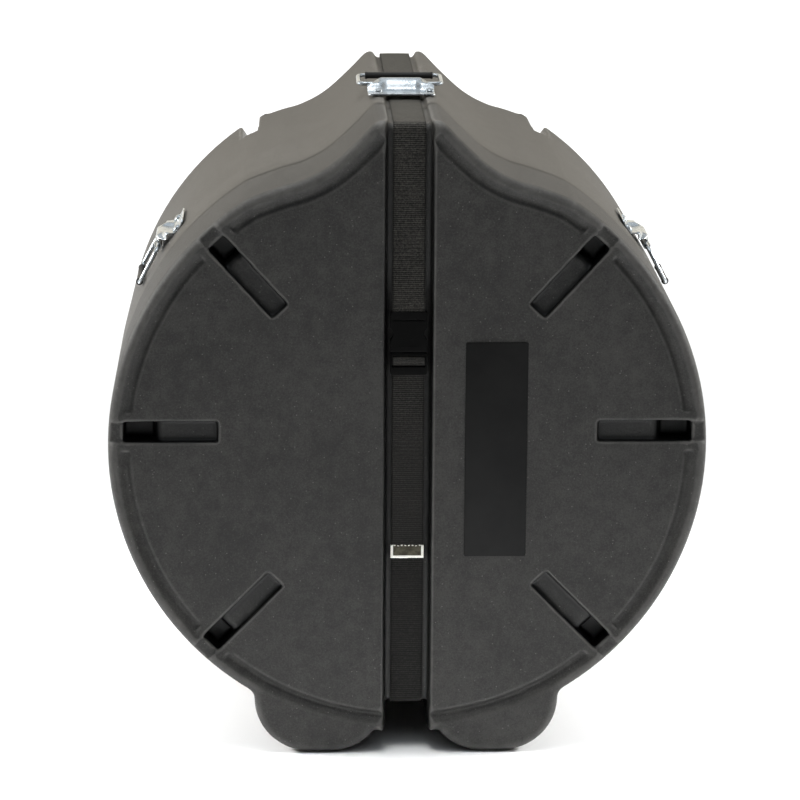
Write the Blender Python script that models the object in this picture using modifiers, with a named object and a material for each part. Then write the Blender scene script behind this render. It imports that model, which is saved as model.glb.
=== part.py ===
"""A moulded bass drum case: a round base with a telescoping lid, two feet, a strap and three handles.

Metres, +Z up. The origin is on the floor below the middle of the case, and the lid faces -Y.
"""
import math

import bmesh
import bpy
from mathutils import Matrix, Vector

MM = 0.001

# Case body
CASE_DEPTH = 580 * MM
DISC_RADIUS = 351 * MM
DISC_HEIGHT = 375 * MM
WALL = 4.2 * MM
GAP = 0.3 * MM
LID_DEPTH = 125 * MM
LID_TO_BASE = 0.5 * MM
SPIGOT_LENGTH = 30 * MM
SPIGOT_CLEARANCE = 0.8 * MM
RIM_ROUNDING = 12 * MM
RIM_WIDTH = 24 * MM
PANEL_RECESS = 3 * MM
FRONT = -CASE_DEPTH / 2
ROUND_STEP = 5.5

# Strap channel and the two ridges beside it, heights from the disc's centre
TOP_FLOOR = 381.8 * MM
BOTTOM_FLOOR = -316 * MM
CHANNEL_HALF = 25 * MM
CHANNEL_MOUTH_HALF = 29 * MM
CHANNEL_DEPTH = 18 * MM
CHANNEL_CORNER = 8 * MM
RIDGE_RADIUS = 14.5 * MM
RIDGE_X = 31 * MM
RIDGE_Z = 373.5 * MM
RIDGE_START = 115
RIDGE_END = 43
RIDGE_TOP = RIDGE_Z + RIDGE_RADIUS
FILLED_HALF = 41.6 * MM

# The flare runs from the ridge down to the round wall
FLARE = [(62, 362.5), (92, 335.5), (122, 319), (150, 310.5)]
FLARE_END = 57

# Feet
FOOT_SIDE = 181 * MM
FOOT_INNER = 25 * MM
FOOT_CORNER = 66 * MM
FOOT_FILLET = 15 * MM
FOOT_ROUNDING = 9 * MM

# Radial slots, one tuple each: angle, rise above the disc's centre, start of the deep pocket
SLOT_START = 222.7 * MM
SLOT_END = 333 * MM
SLOT_OPEN_END = 362 * MM
SLOT_HALF_WIDTH = 13 * MM
SLOT_DRAFT = 2 * MM
SLOT_DEPTH = 9 * MM
POCKET_DEPTH = 32 * MM
NOTCH_DEPTH = 95 * MM
SLOTS = [(0, 21 * MM, 296 * MM), (180, 21 * MM, 296 * MM), (-45.6, 0, 306 * MM), (225.6, 0, 306 * MM)]
FRONT_SLOTS = [(47.8, 0, 306 * MM), (132.2, 0, 306 * MM)] + SLOTS
BACK_SLOTS = [(56, 0, 306 * MM), (124, 0, 306 * MM)] + SLOTS

# Name plate area
PLATE_MIDDLE = (103 * MM, -1.5 * MM)
PLATE_SIZE = (73 * MM, 0.8 * MM, 259 * MM)
PLATE_CORNER = 0.3 * MM

# Webbing
STRAP_WIDTH = 38.1 * MM
STRAP_THICK = 1.8 * MM
STRAP_LIFT = GAP + STRAP_THICK / 2
STRAP_CORNER = CHANNEL_CORNER + STRAP_LIFT
STRAP_FRONT = CHANNEL_DEPTH - STRAP_LIFT
STRAP_BACK = CASE_DEPTH - CHANNEL_DEPTH + STRAP_LIFT
STRAP_SPLIT = 0.3 * MM

# Buckle, depths from the case's front and heights from the disc's centre
BUCKLE_HALF = 21.5 * MM
BUCKLE_FRONT = 2.0 * MM
BUCKLE_BACK = 12.3 * MM
WINDOW_HALF = 19.5 * MM
FEMALE_TOP = 165 * MM
FEMALE_BOTTOM = 116.5 * MM
TOP_BAR = (6.0 * MM, 9.6 * MM, 158.2 * MM)
STRAP_SLOT_BOTTOM = 153.5 * MM
SOCKET_HALF = 17.4 * MM
SOCKET_DEPTHS = (4.4 * MM, 10.6 * MM)
SOCKET_TOP = 150 * MM
SIDE_WINDOW = (128.5 * MM, 147 * MM)
MALE_TOP = 115.8 * MM
MALE_BOTTOM = 89 * MM
MALE_WINDOW = (98.5 * MM, 112.5 * MM)
ADJUSTER_BAR = (6.5 * MM, 9.5 * MM, 103.5 * MM, 108.5 * MM)
GUIDE_HALF = 4 * MM
GUIDE_TOP = 142 * MM
PRONG_DEPTHS = (5.0 * MM, 10.0 * MM)
PRONG_OUTLINE = [(9.5, 116.1), (13.5, 116.1), (14.2, 129.5), (17.0, 131), (17.0, 141),
                 (14.5, 146), (11.5, 146), (10.8, 130)]
TAIL_DEPTH = 13.8 * MM
TAIL_END = -135.5 * MM
CLIP_TOP = -119 * MM
CLIP_BOTTOM = -136.4 * MM
CLIP_HALF = 19.6 * MM
CLIP_THICK = 0.7 * MM

# Handles: u runs across, v from the lifted tab to the hinge, n out of the wall
HANDLE_HALF = 40 * MM
SHEET = 1.5 * MM
RIVET_V = 22 * MM
RIVET_U = 31 * MM
HINGE_V = 53.5 * MM
HINGE_N = 5.8 * MM
HOOK_RADIUS = 3.9 * MM
HOOK_ARC = (165, 425)
TOP_TAB = [(-8, 2.2), (0, 1.3)]
SIDE_TAB = [(8, 3.6), (11, 2.4)]
SHEET_PROFILE = [(15, 1.25), (20, 1.05), (30.5, 1.05), (33.5, 3.0), (37.5, 8.4), (41.5, 12.6), (45, 14.0),
                 (48, 12.6), (49.6, 9.6)]
WIRE_RADIUS = 2.5 * MM
BAIL_HALF = 50 * MM
BAIL_LENGTH = 47 * MM
BAIL_CORNER = 7 * MM
GRIP_HALF = 41.5 * MM
GRIP_RADIUS = 4.4 * MM
GRIP_BORE = 2.8 * MM
RIVET_HEAD = 5.5 * MM
RIVET_DOME = 3.2 * MM
RIVET_SHANK = 2.4 * MM
RIVET_HOLE = 2.7 * MM
RIVET_TAIL = 4.4 * MM
RIVET_TAIL_THICK = 1.5 * MM
WASHER_RADIUS = 6.5 * MM
WASHER_THICK = 1.5 * MM
TOP_HANDLE_FRONT = 186.5 * MM
TOP_HANDLE_OFFSET = -3.5 * MM
SIDE_HANDLE_MIDDLE = 240 * MM
SIDE_HANDLE_ANGLE = 39
TOP_BAIL_TILT = 3.5
SIDE_BAIL_TILT = -11.1


def start_scene():
    """Clear the scene and make the collections for the parts and for the cutters."""
    for obj in list(bpy.data.objects):
        bpy.data.objects.remove(obj)
    parts = bpy.data.collections.new("bass_drum_case")
    cutters = bpy.data.collections.new("cutters")
    for collection in (parts, cutters):
        bpy.context.scene.collection.children.link(collection)
    return parts, cutters


PARTS, CUTTERS = start_scene()


def make_material(name, colour, roughness, metallic=0.0):
    material = bpy.data.materials.new(name)
    material.use_nodes = True
    shader = material.node_tree.nodes["Principled BSDF"]
    shader.inputs["Base Color"].default_value = (*colour, 1.0)
    shader.inputs["Roughness"].default_value = roughness
    shader.inputs["Metallic"].default_value = metallic
    return material


SHELL_PLASTIC = make_material("moulded_polyethylene", (0.045, 0.044, 0.043), 0.55)
PLATE_PLASTIC = make_material("smooth_label_plastic", (0.018, 0.018, 0.018), 0.25)
WEBBING = make_material("black_webbing", (0.022, 0.021, 0.020), 0.8)
BUCKLE_PLASTIC = make_material("buckle_plastic", (0.012, 0.012, 0.013), 0.35)
PLATED_STEEL = make_material("zinc_plated_steel", (0.74, 0.75, 0.77), 0.28, 1.0)
CLIP_STEEL = make_material("strap_clip_steel", (0.62, 0.60, 0.52), 0.25, 1.0)
GRIP_RUBBER = make_material("grip_rubber", (0.020, 0.020, 0.020), 0.6)


def add_object(name, mesh, material=None):
    """Put a mesh in the parts, or in the cutters when it has no material."""
    obj = bpy.data.objects.new(name, mesh)
    if material is None:
        CUTTERS.objects.link(obj)
        obj.hide_render = True
        obj.display_type = "WIRE"
    else:
        PARTS.objects.link(obj)
        mesh.materials.append(material)
    return obj


def finish_mesh(name, bm):
    """Turn a bmesh into a mesh whose faces point out."""
    bmesh.ops.recalc_face_normals(bm, faces=bm.faces)
    mesh = bpy.data.meshes.new(name)
    bm.to_mesh(mesh)
    bm.free()
    mesh.shade_smooth()
    mesh.set_sharp_from_angle(angle=math.radians(30))
    return mesh


def boolean(target, tool, operation="DIFFERENCE"):
    modifier = target.modifiers.new(operation.lower() + "_" + tool.name, "BOOLEAN")
    modifier.operation = operation
    modifier.solver = "EXACT"
    modifier.object = tool


def arc(x, z, radius, start, end, count):
    """Points on an arc, with its angles in degrees."""
    angles = [math.radians(start + (end - start) * i / count) for i in range(count + 1)]
    return [(x + radius * math.cos(a), z + radius * math.sin(a)) for a in angles]


def smooth_through(points, steps):
    """Points on a smooth curve through the inner points. The first and last only set its direction."""
    result = []
    for a, b, c, d in zip(points, points[1:], points[2:], points[3:]):
        for i in range(steps):
            t = i / steps
            result.append(tuple(
                0.5 * (2 * q + (r - p) * t + (2 * p - 5 * q + 4 * r - s) * t * t
                       + (3 * q - p - 3 * r + s) * t ** 3)
                for p, q, r, s in zip(a, b, c, d)))
    result.append(tuple(points[-2]))
    return result


def flare_points(inset):
    """The S-shaped flank between a ridge and the round wall, moved inwards by inset."""
    ridge = arc(RIDGE_X, RIDGE_Z, RIDGE_RADIUS, RIDGE_END + 40, RIDGE_END, 1)
    wall = arc(0, 0, DISC_RADIUS, FLARE_END, FLARE_END - 6, 1)
    control = [ridge[0], ridge[1]] + [(x * MM, z * MM) for x, z in FLARE] + wall
    line = smooth_through(control, 3)
    moved = []
    for before, point, after in zip(line, line[1:], line[2:]):
        along = Vector(after) - Vector(before)
        along.normalize()
        moved.append((point[0] - along.y * -inset, point[1] + along.x * -inset))
    return moved


def disc_outline(inset, ridged):
    """The case's outline without its feet. Inside the case the two ridges are filled in."""
    top = TOP_FLOOR - inset
    if ridged:
        half = [(CHANNEL_HALF - 1 * MM, top)]
        half += arc(RIDGE_X, RIDGE_Z, RIDGE_RADIUS - inset, RIDGE_START, RIDGE_END, 5)
    else:
        half = [(FILLED_HALF - 0.75 * inset, top)]
    half += [(x, z if ridged else min(z, top)) for x, z in flare_points(inset)]
    turn = FLARE_END + 90
    half += arc(0, 0, DISC_RADIUS - inset, FLARE_END, -87, round(turn / ROUND_STEP))
    return half + [(-x, z) for x, z in reversed(half)]


def foot_outline(inset):
    """One foot, from its fillet on the round wall to the strap channel, closed inside the disc."""
    centre_z = FOOT_CORNER - DISC_HEIGHT
    reach = DISC_RADIUS + FOOT_FILLET
    fillet_x = FOOT_SIDE + FOOT_FILLET
    fillet_z = -math.sqrt(reach ** 2 - fillet_x ** 2)
    meet = math.degrees(math.atan2(-fillet_z, -fillet_x))
    corner = FOOT_CORNER - inset
    channel = math.degrees(math.asin((centre_z - BOTTOM_FLOOR - inset) / corner))
    points = [(fillet_x - 40 * MM, fillet_z + 75 * MM)]
    points += arc(fillet_x, fillet_z, FOOT_FILLET + inset, meet, 180, 4)
    points += arc(FOOT_SIDE - FOOT_CORNER, centre_z, corner, -10, -90, 6)
    points += arc(FOOT_INNER + FOOT_CORNER, centre_z, corner, -90, channel - 180, 7)
    points.append((FOOT_INNER + inset, BOTTOM_FLOOR + 26 * MM))
    return points


def loft_into(bm, rings):
    """Add a closed body that runs through rings, each a pair of a depth and an outline."""
    layers = [[bm.verts.new((x, FRONT + depth, DISC_HEIGHT + z)) for x, z in outline]
              for depth, outline in rings]
    for low, high in zip(layers, layers[1:]):
        for i in range(len(low)):
            j = (i + 1) % len(low)
            bm.faces.new((low[i], low[j], high[j], high[i]))
    bm.faces.new(layers[0])
    bm.faces.new(layers[-1])


def disc_body(name, rings, ridged, material=None):
    bm = bmesh.new()
    loft_into(bm, [(depth, disc_outline(inset, ridged)) for depth, inset in rings])
    return add_object(name, finish_mesh(name, bm), material)


def feet_body(name, rings):
    bm = bmesh.new()
    for side in (1, -1):
        loft_into(bm, [(depth, [(side * x, z) for x, z in foot_outline(inset)]) for depth, inset in rings])
    return add_object(name, finish_mesh(name, bm))


def block_mesh(name, low, high):
    """A box between two corners: across, depth from the front, height from the disc's centre."""
    bm = bmesh.new()
    bmesh.ops.create_cube(bm, size=1.0)
    low = Vector((low[0], FRONT + low[1], DISC_HEIGHT + low[2]))
    high = Vector((high[0], FRONT + high[1], DISC_HEIGHT + high[2]))
    bmesh.ops.scale(bm, vec=high - low, verts=bm.verts)
    bmesh.ops.translate(bm, vec=(low + high) / 2, verts=bm.verts)
    return finish_mesh(name, bm)


def block(name, low, high, material=None):
    return add_object(name, block_mesh(name, low, high), material)


def prism_into(bm, outline, low, high, place):
    """Add an outline extruded from low to high, its three axes put in place by a matrix."""
    start = [bm.verts.new((x, low, z)) for x, z in outline]
    face = bm.faces.new(start)
    pushed = bmesh.ops.extrude_face_region(bm, geom=[face])
    end = [item for item in pushed["geom"] if isinstance(item, bmesh.types.BMVert)]
    bmesh.ops.translate(bm, vec=(0, high - low, 0), verts=end)
    bmesh.ops.transform(bm, matrix=place, verts=start + end)
    return start + end


def face_channel(name, half, mouth_half, floor, corner, at_back):
    """A cutter for the strap channel down one face, with round corners where it turns onto the walls."""
    turn = floor + corner
    side = [(-20 * MM, TOP_FLOOR + 30 * MM), (turn, TOP_FLOOR + 30 * MM)]
    side += arc(turn, TOP_FLOOR - corner, corner, 90, 180, 5)
    side += arc(turn, BOTTOM_FLOOR + corner, corner, 180, 270, 5)
    side += [(turn, BOTTOM_FLOOR - 40 * MM), (-20 * MM, BOTTOM_FLOOR - 40 * MM)]
    bm = bmesh.new()
    turned = Matrix(((0, 1, 0, 0), (1, 0, 0, 0), (0, 0, 1, 0), (0, 0, 0, 1)))
    verts = prism_into(bm, side, -half, half, turned)
    for vert in verts:
        flare = 1 + (mouth_half / half - 1) * (floor - vert.co.y) / floor
        vert.co.x *= max(flare, 1)
    place_on_face(bm, at_back)
    return add_object(name, finish_mesh(name, bm))


def place_on_face(bm, at_back):
    """Move a cutter from depths counted from a face to the front or the back of the case."""
    if at_back:
        bmesh.ops.scale(bm, vec=(1, -1, 1), verts=bm.verts)
    offset = -FRONT if at_back else FRONT
    bmesh.ops.translate(bm, vec=(0, offset, DISC_HEIGHT), verts=bm.verts)


def slot_cutters(name, grow, at_back):
    """Six stepped radial slots as one cutter. At the back the upper two run on as notches in the wall."""
    bm = bmesh.new()
    for angle, rise, pocket_start in BACK_SLOTS if at_back else FRONT_SLOTS:
        notch = at_back and 40 < angle < 140
        end = SLOT_OPEN_END if notch else SLOT_END
        ledge = PANEL_RECESS + SLOT_DEPTH + grow
        deep = PANEL_RECESS + (NOTCH_DEPTH if notch else POCKET_DEPTH) + grow
        near = pocket_start - grow
        side = [(SLOT_START - grow - SLOT_DRAFT, -10 * MM), (SLOT_START - grow, ledge), (near - 4 * MM, ledge),
                (near, ledge + 4 * MM), (near + 2 * MM, deep), (end + grow - 2 * MM, deep), (end + grow, -10 * MM)]
        radial = [(r, d) for r, d in side]
        turn = Matrix.Rotation(math.radians(-angle), 4, "Y")
        lift = Matrix.Translation((0, 0, rise))
        swap = Matrix(((1, 0, 0, 0), (0, 0, 1, 0), (0, 1, 0, 0), (0, 0, 0, 1)))
        half = SLOT_HALF_WIDTH + grow
        verts = prism_into(bm, radial, -half, half, swap)
        for vert in verts:
            vert.co.z *= 1 - SLOT_DRAFT / half * max(vert.co.y, 0) / deep
        bmesh.ops.transform(bm, matrix=lift @ turn, verts=verts)
    place_on_face(bm, at_back)
    return add_object(name, finish_mesh(name, bm))


def panel_cutter(name, low, high):
    return disc_body(name, [(low, RIM_WIDTH), (high, RIM_WIDTH)], False)


def bottom_channel(name, half, floor, low, high):
    return block(name, (-half, low, -DISC_HEIGHT - 30 * MM), (half, high, floor))


def make_lid():
    """The lid: a shallow cap with a raised rim, its own front halves of the feet and a skirt."""
    rim = RIM_ROUNDING
    lid = disc_body("lid_shell", [(0, rim), (0.29 * rim, 0.29 * rim), (rim, 0), (LID_DEPTH, 0)],
                    True, SHELL_PLASTIC)
    near = FOOT_ROUNDING
    boolean(lid, feet_body("lid_feet_outside", [(0, near), (0.29 * near, 0.29 * near), (near, 0),
                                                (LID_DEPTH, 0)]), "UNION")
    boolean(lid, bottom_channel("lid_bottom_channel", CHANNEL_HALF, BOTTOM_FLOOR, -1, 1))
    boolean(lid, panel_cutter("lid_panel", -0.02, PANEL_RECESS))
    boolean(lid, face_channel("lid_channel", CHANNEL_HALF, CHANNEL_MOUTH_HALF, CHANNEL_DEPTH,
                              CHANNEL_CORNER, False))
    boolean(lid, slot_cutters("lid_slots", 0, False))
    inside = PANEL_RECESS + WALL
    hollow = disc_body("lid_hollow", [(inside, 15 * MM), (inside + 3.5 * MM, 8 * MM),
                                      (inside + 9 * MM, WALL), (LID_DEPTH + 5 * MM, WALL)], False)
    boolean(hollow, feet_body("lid_feet_inside", [(inside, 12 * MM), (inside + 3 * MM, 7 * MM),
                                                  (inside + 8 * MM, WALL), (LID_DEPTH + 5 * MM, WALL)]),
            "UNION")
    keep_walls(hollow, "lid", False)
    boolean(hollow, bottom_channel("lid_channel_floor", CHANNEL_HALF + WALL, BOTTOM_FLOOR + WALL, -1, 1))
    boolean(lid, hollow)
    return lid


def keep_walls(hollow, name, at_back):
    """Leave a wall of even thickness behind the channel and the slots of one face."""
    half = CHANNEL_MOUTH_HALF + WALL
    low = CASE_DEPTH - CHANNEL_DEPTH - WALL if at_back else -20 * MM
    high = CASE_DEPTH + 20 * MM if at_back else CHANNEL_DEPTH + WALL
    boolean(hollow, block(name + "_channel_wall", (-half, low, -DISC_HEIGHT), (half, high, TOP_FLOOR)))
    boolean(hollow, slot_cutters(name + "_slot_walls", WALL, at_back))


def make_base():
    """The base: the deep half, with a spigot that enters the lid and a face like the lid's at the back."""
    rim = RIM_ROUNDING
    start = LID_DEPTH + LID_TO_BASE
    back = CASE_DEPTH
    near = FOOT_ROUNDING
    base = disc_body("base_shell", [(start, 0), (back - rim, 0), (back - 0.29 * rim, 0.29 * rim), (back, rim)],
                     True, SHELL_PLASTIC)
    boolean(base, feet_body("base_feet_outside", [(start, 0), (back - near, 0),
                                                  (back - 0.29 * near, 0.29 * near), (back, near)]), "UNION")
    boolean(base, bottom_channel("base_bottom_channel", CHANNEL_HALF, BOTTOM_FLOOR, -1, 1))
    step = WALL + SPIGOT_CLEARANCE
    ends = (LID_DEPTH - SPIGOT_LENGTH, start + 6 * MM)
    spigot = disc_body("spigot", [(ends[0], step), (ends[1], step)], False)
    boolean(spigot, feet_body("spigot_feet", [(ends[0], step), (ends[1], step)]), "UNION")
    boolean(spigot, bottom_channel("spigot_channel", CHANNEL_HALF + step, BOTTOM_FLOOR + step, -1, 1))
    boolean(base, spigot, "UNION")
    boolean(base, panel_cutter("base_panel", back - PANEL_RECESS, back + 0.02))
    boolean(base, face_channel("base_channel", CHANNEL_HALF, CHANNEL_MOUTH_HALF, CHANNEL_DEPTH,
                               CHANNEL_CORNER, True))
    boolean(base, slot_cutters("base_slots", 0, True))
    inner = step + WALL
    inside = back - PANEL_RECESS - WALL
    neck = start + 8 * MM
    mouth = ends[0] - 5 * MM
    hollow = disc_body("base_hollow", [(mouth, inner), (neck, inner), (neck + 8 * MM, WALL),
                                       (inside - 9 * MM, WALL), (inside - 3.5 * MM, 8 * MM),
                                       (inside, 15 * MM)], False)
    boolean(hollow, feet_body("base_feet_inside", [(mouth, inner), (neck, inner), (neck + 8 * MM, WALL),
                                                   (inside - 8 * MM, WALL), (inside - 3 * MM, 7 * MM),
                                                   (inside, 12 * MM)]), "UNION")
    keep_walls(hollow, "base", True)
    boolean(hollow, bottom_channel("neck_channel_floor", CHANNEL_HALF + inner, BOTTOM_FLOOR + inner,
                                   -1, neck + 4 * MM))
    boolean(hollow, bottom_channel("base_channel_floor", CHANNEL_HALF + WALL, BOTTOM_FLOOR + WALL, -1, 1))
    boolean(base, hollow)
    return base


def make_label():
    """The smooth bare plate to the right of the channel."""
    x, z = PLATE_MIDDLE
    wide, thick, tall = PLATE_SIZE
    depth = PANEL_RECESS - GAP
    plate = block("label_plate", (x - wide / 2, depth - thick, z - tall / 2),
                  (x + wide / 2, depth, z + tall / 2), PLATE_PLASTIC)
    bevel = plate.modifiers.new("rounded_edges", "BEVEL")
    bevel.width = PLATE_CORNER
    bevel.segments = 2


def webbing(name, path, half=STRAP_WIDTH / 2, thick=STRAP_THICK, material=None):
    """A flat band that follows a path of depth and height points."""
    bm = bmesh.new()
    verts = [bm.verts.new((-half, FRONT + depth, DISC_HEIGHT + z)) for depth, z in path]
    edges = [bm.edges.new(pair) for pair in zip(verts, verts[1:])]
    pushed = bmesh.ops.extrude_edge_only(bm, edges=edges)
    moved = [item for item in pushed["geom"] if isinstance(item, bmesh.types.BMVert)]
    bmesh.ops.translate(bm, vec=(2 * half, 0, 0), verts=moved)
    band = add_object(name, finish_mesh(name, bm), material or WEBBING)
    solidify = band.modifiers.new("thickness", "SOLIDIFY")
    solidify.thickness = thick
    solidify.offset = 0
    solidify.use_even_offset = True


def strap_corner(depth, height, start, end):
    return arc(depth, height, STRAP_CORNER, start, end, 6)


def make_straps():
    """The strap round the case, split where the lid leaves the base and at the turns of the base."""
    top = TOP_FLOOR + STRAP_LIFT
    bottom = BOTTOM_FLOOR - STRAP_LIFT
    front_turn = CHANNEL_DEPTH + CHANNEL_CORNER
    back_turn = CASE_DEPTH - front_turn
    upper_turn = TOP_FLOOR - CHANNEL_CORNER
    lower_turn = BOTTOM_FLOOR + CHANNEL_CORNER
    split = LID_DEPTH + LID_TO_BASE / 2
    bar_front, bar_back, bar_low = TOP_BAR
    over = bar_front - STRAP_LIFT
    behind = bar_back + STRAP_LIFT
    middle = (over + behind) / 2
    loop = [(STRAP_FRONT, 0.215), (15.4 * MM, 0.196), (10.4 * MM, 0.181), (6.2 * MM, 0.1695), (over, 0.165)]
    loop += arc(middle, bar_low, middle - over, 180, 360, 8)
    loop.append((behind, 0.168))
    webbing("strap_upper_front", [(split - STRAP_SPLIT, top)]
            + strap_corner(front_turn, upper_turn, 90, 180) + loop)
    webbing("strap_lower_front", [(STRAP_FRONT, 0.108)]
            + strap_corner(front_turn, lower_turn, 180, 270) + [(split - STRAP_SPLIT, bottom)])
    webbing("strap_over_top", [(split + STRAP_SPLIT, top)] + strap_corner(back_turn, upper_turn, 90, 0))
    webbing("strap_down_back", [(STRAP_BACK, upper_turn - STRAP_SPLIT), (STRAP_BACK, lower_turn + STRAP_SPLIT)])
    webbing("strap_under_base", strap_corner(back_turn, lower_turn, 0, -90) + [(split + STRAP_SPLIT, bottom)])


def make_female():
    """The upper buckle half: a socket open below, side windows and a bar for the strap's loop."""
    female = block("buckle_female", (-BUCKLE_HALF, BUCKLE_FRONT, FEMALE_BOTTOM),
                   (BUCKLE_HALF, BUCKLE_BACK, FEMALE_TOP), BUCKLE_PLASTIC)
    bar_front, bar_back, bar_low = TOP_BAR
    low = FEMALE_BOTTOM - 5 * MM
    high = FEMALE_TOP + 5 * MM
    boolean(female, block("female_strap_slot", (-WINDOW_HALF, -1 * MM, STRAP_SLOT_BOTTOM),
                          (WINDOW_HALF, 20 * MM, bar_low)))
    boolean(female, block("female_bar_front", (-WINDOW_HALF, -1 * MM, STRAP_SLOT_BOTTOM),
                          (WINDOW_HALF, bar_front, high)))
    boolean(female, block("female_bar_back", (-WINDOW_HALF, bar_back, STRAP_SLOT_BOTTOM),
                          (WINDOW_HALF, 20 * MM, high)))
    boolean(female, block("female_socket", (-SOCKET_HALF, SOCKET_DEPTHS[0], low),
                          (SOCKET_HALF, SOCKET_DEPTHS[1], SOCKET_TOP)))
    boolean(female, block("female_windows", (-BUCKLE_HALF - 1 * MM, SOCKET_DEPTHS[0], SIDE_WINDOW[0]),
                          (BUCKLE_HALF + 1 * MM, SOCKET_DEPTHS[1], SIDE_WINDOW[1])))


def make_male():
    """The lower buckle half: a frame with its adjuster bar, and the guide between the prongs."""
    male = block("buckle_male", (-BUCKLE_HALF, BUCKLE_FRONT, MALE_BOTTOM),
                 (BUCKLE_HALF, BUCKLE_BACK, MALE_TOP), BUCKLE_PLASTIC)
    boolean(male, block("male_window", (-WINDOW_HALF, -1 * MM, MALE_WINDOW[0]),
                        (WINDOW_HALF, 20 * MM, MALE_WINDOW[1])))
    front, back, low, high = ADJUSTER_BAR
    boolean(male, block("adjuster_bar", (-BUCKLE_HALF + 0.5 * MM, front, low),
                        (BUCKLE_HALF - 0.5 * MM, back, high)), "UNION")
    boolean(male, block("guide_tongue", (-GUIDE_HALF, PRONG_DEPTHS[0], MALE_TOP - 2 * MM),
                        (GUIDE_HALF, PRONG_DEPTHS[1], GUIDE_TOP)), "UNION")
    for side, name in ((1, "buckle_prong_right"), (-1, "buckle_prong_left")):
        bm = bmesh.new()
        outline = [(side * x * MM, z * MM) for x, z in PRONG_OUTLINE]
        place = Matrix.Translation((0, FRONT, DISC_HEIGHT))
        prism_into(bm, outline, PRONG_DEPTHS[0], PRONG_DEPTHS[1], place)
        add_object(name, finish_mesh(name, bm), BUCKLE_PLASTIC)


def make_tail():
    """The free end of the strap, round the adjuster bar and down, with its folded metal clip."""
    front, back, low, high = ADJUSTER_BAR
    over = front - STRAP_LIFT
    behind = back + STRAP_LIFT
    under = low - 2.3 * MM
    path = [(TAIL_DEPTH, TAIL_END), (TAIL_DEPTH, 0.0965), (13.1 * MM, 0.0992), (11.4 * MM, under),
            (6.9 * MM, under), (over + 0.3 * MM, low - 0.9 * MM), (over, low + 0.8 * MM), (over, high - 0.4 * MM),
            (over + 0.8 * MM, high + 1.5 * MM), ((over + behind) / 2, high + 2.0 * MM),
            (behind - 0.8 * MM, high + 1.5 * MM), (behind, high - 0.4 * MM), (behind, high - 1.6 * MM)]
    webbing("strap_tail", path)
    reach = STRAP_THICK / 2 + GAP + CLIP_THICK / 2
    base = CLIP_BOTTOM + CLIP_THICK / 2
    clip = [(TAIL_DEPTH - reach, CLIP_TOP), (TAIL_DEPTH - reach, base), (TAIL_DEPTH + reach, base),
            (TAIL_DEPTH + reach, CLIP_TOP)]
    webbing("strap_tail_clip", clip, CLIP_HALF, CLIP_THICK, CLIP_STEEL)


def handle_frames():
    """Name, wall thickness, bail tilt and frame of each handle, at its rivet line on the wall."""
    top = Matrix.Translation((0, FRONT + TOP_HANDLE_FRONT + RIVET_V, DISC_HEIGHT + RIDGE_TOP))
    frames = [("top", RIDGE_TOP - TOP_FLOOR + WALL, TOP_BAIL_TILT, top)]
    for name, angle in (("left", 180 - SIDE_HANDLE_ANGLE), ("right", SIDE_HANDLE_ANGLE)):
        a = math.radians(angle)
        side = 1 if name == "left" else -1
        out = Vector((math.cos(a), 0, math.sin(a)))
        down = side * Vector((-math.sin(a), 0, math.cos(a)))
        across = Vector((0, side, 0))
        place = Matrix((across, down, out)).transposed().to_4x4()
        middle = Vector((0, FRONT + SIDE_HANDLE_MIDDLE, DISC_HEIGHT))
        place.translation = middle + DISC_RADIUS * out
        facet_sag = DISC_RADIUS * (1 - math.cos(math.radians(ROUND_STEP / 2)))
        frames.append((name, WALL + facet_sag, SIDE_BAIL_TILT, place))
    return frames


def make_sheet(name, tab, place):
    """The stamped handle plate: a lifted tab, a riveted flat, a bulge and a hook round the wire."""
    profile = [(v * MM - RIVET_V, n * MM) for v, n in tab + SHEET_PROFILE]
    profile += arc(HINGE_V - RIVET_V, HINGE_N, HOOK_RADIUS, HOOK_ARC[0], HOOK_ARC[1], 9)
    bm = bmesh.new()
    verts = [bm.verts.new((-HANDLE_HALF, v, n)) for v, n in profile]
    edges = [bm.edges.new(pair) for pair in zip(verts, verts[1:])]
    pushed = bmesh.ops.extrude_edge_only(bm, edges=edges)
    moved = [item for item in pushed["geom"] if isinstance(item, bmesh.types.BMVert)]
    bmesh.ops.translate(bm, vec=(2 * HANDLE_HALF, 0, 0), verts=moved)
    plate = add_object(name, finish_mesh(name, bm), PLATED_STEEL)
    plate.matrix_world = place
    solidify = plate.modifiers.new("thickness", "SOLIDIFY")
    solidify.thickness = SHEET
    solidify.offset = 0
    solidify.use_even_offset = True
    return plate


def turned(name, profile, place, material, closed=False, steps=12):
    """A body of revolution about n, from radius and height points that run down its outer side."""
    mesh = bpy.data.meshes.new(name)
    bm = bmesh.new()
    verts = [bm.verts.new((r, 0, n)) for r, n in profile]
    pairs = list(zip(verts, verts[1:])) + ([(verts[-1], verts[0])] if closed else [])
    for pair in pairs:
        bm.edges.new(pair)
    bm.to_mesh(mesh)
    bm.free()
    obj = add_object(name, mesh, material)
    obj.matrix_world = place
    screw = obj.modifiers.new("turn", "SCREW")
    screw.steps = steps
    screw.render_steps = steps
    screw.use_merge_vertices = True
    screw.merge_threshold = 0.00001
    screw.use_smooth_shade = True
    return obj


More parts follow.
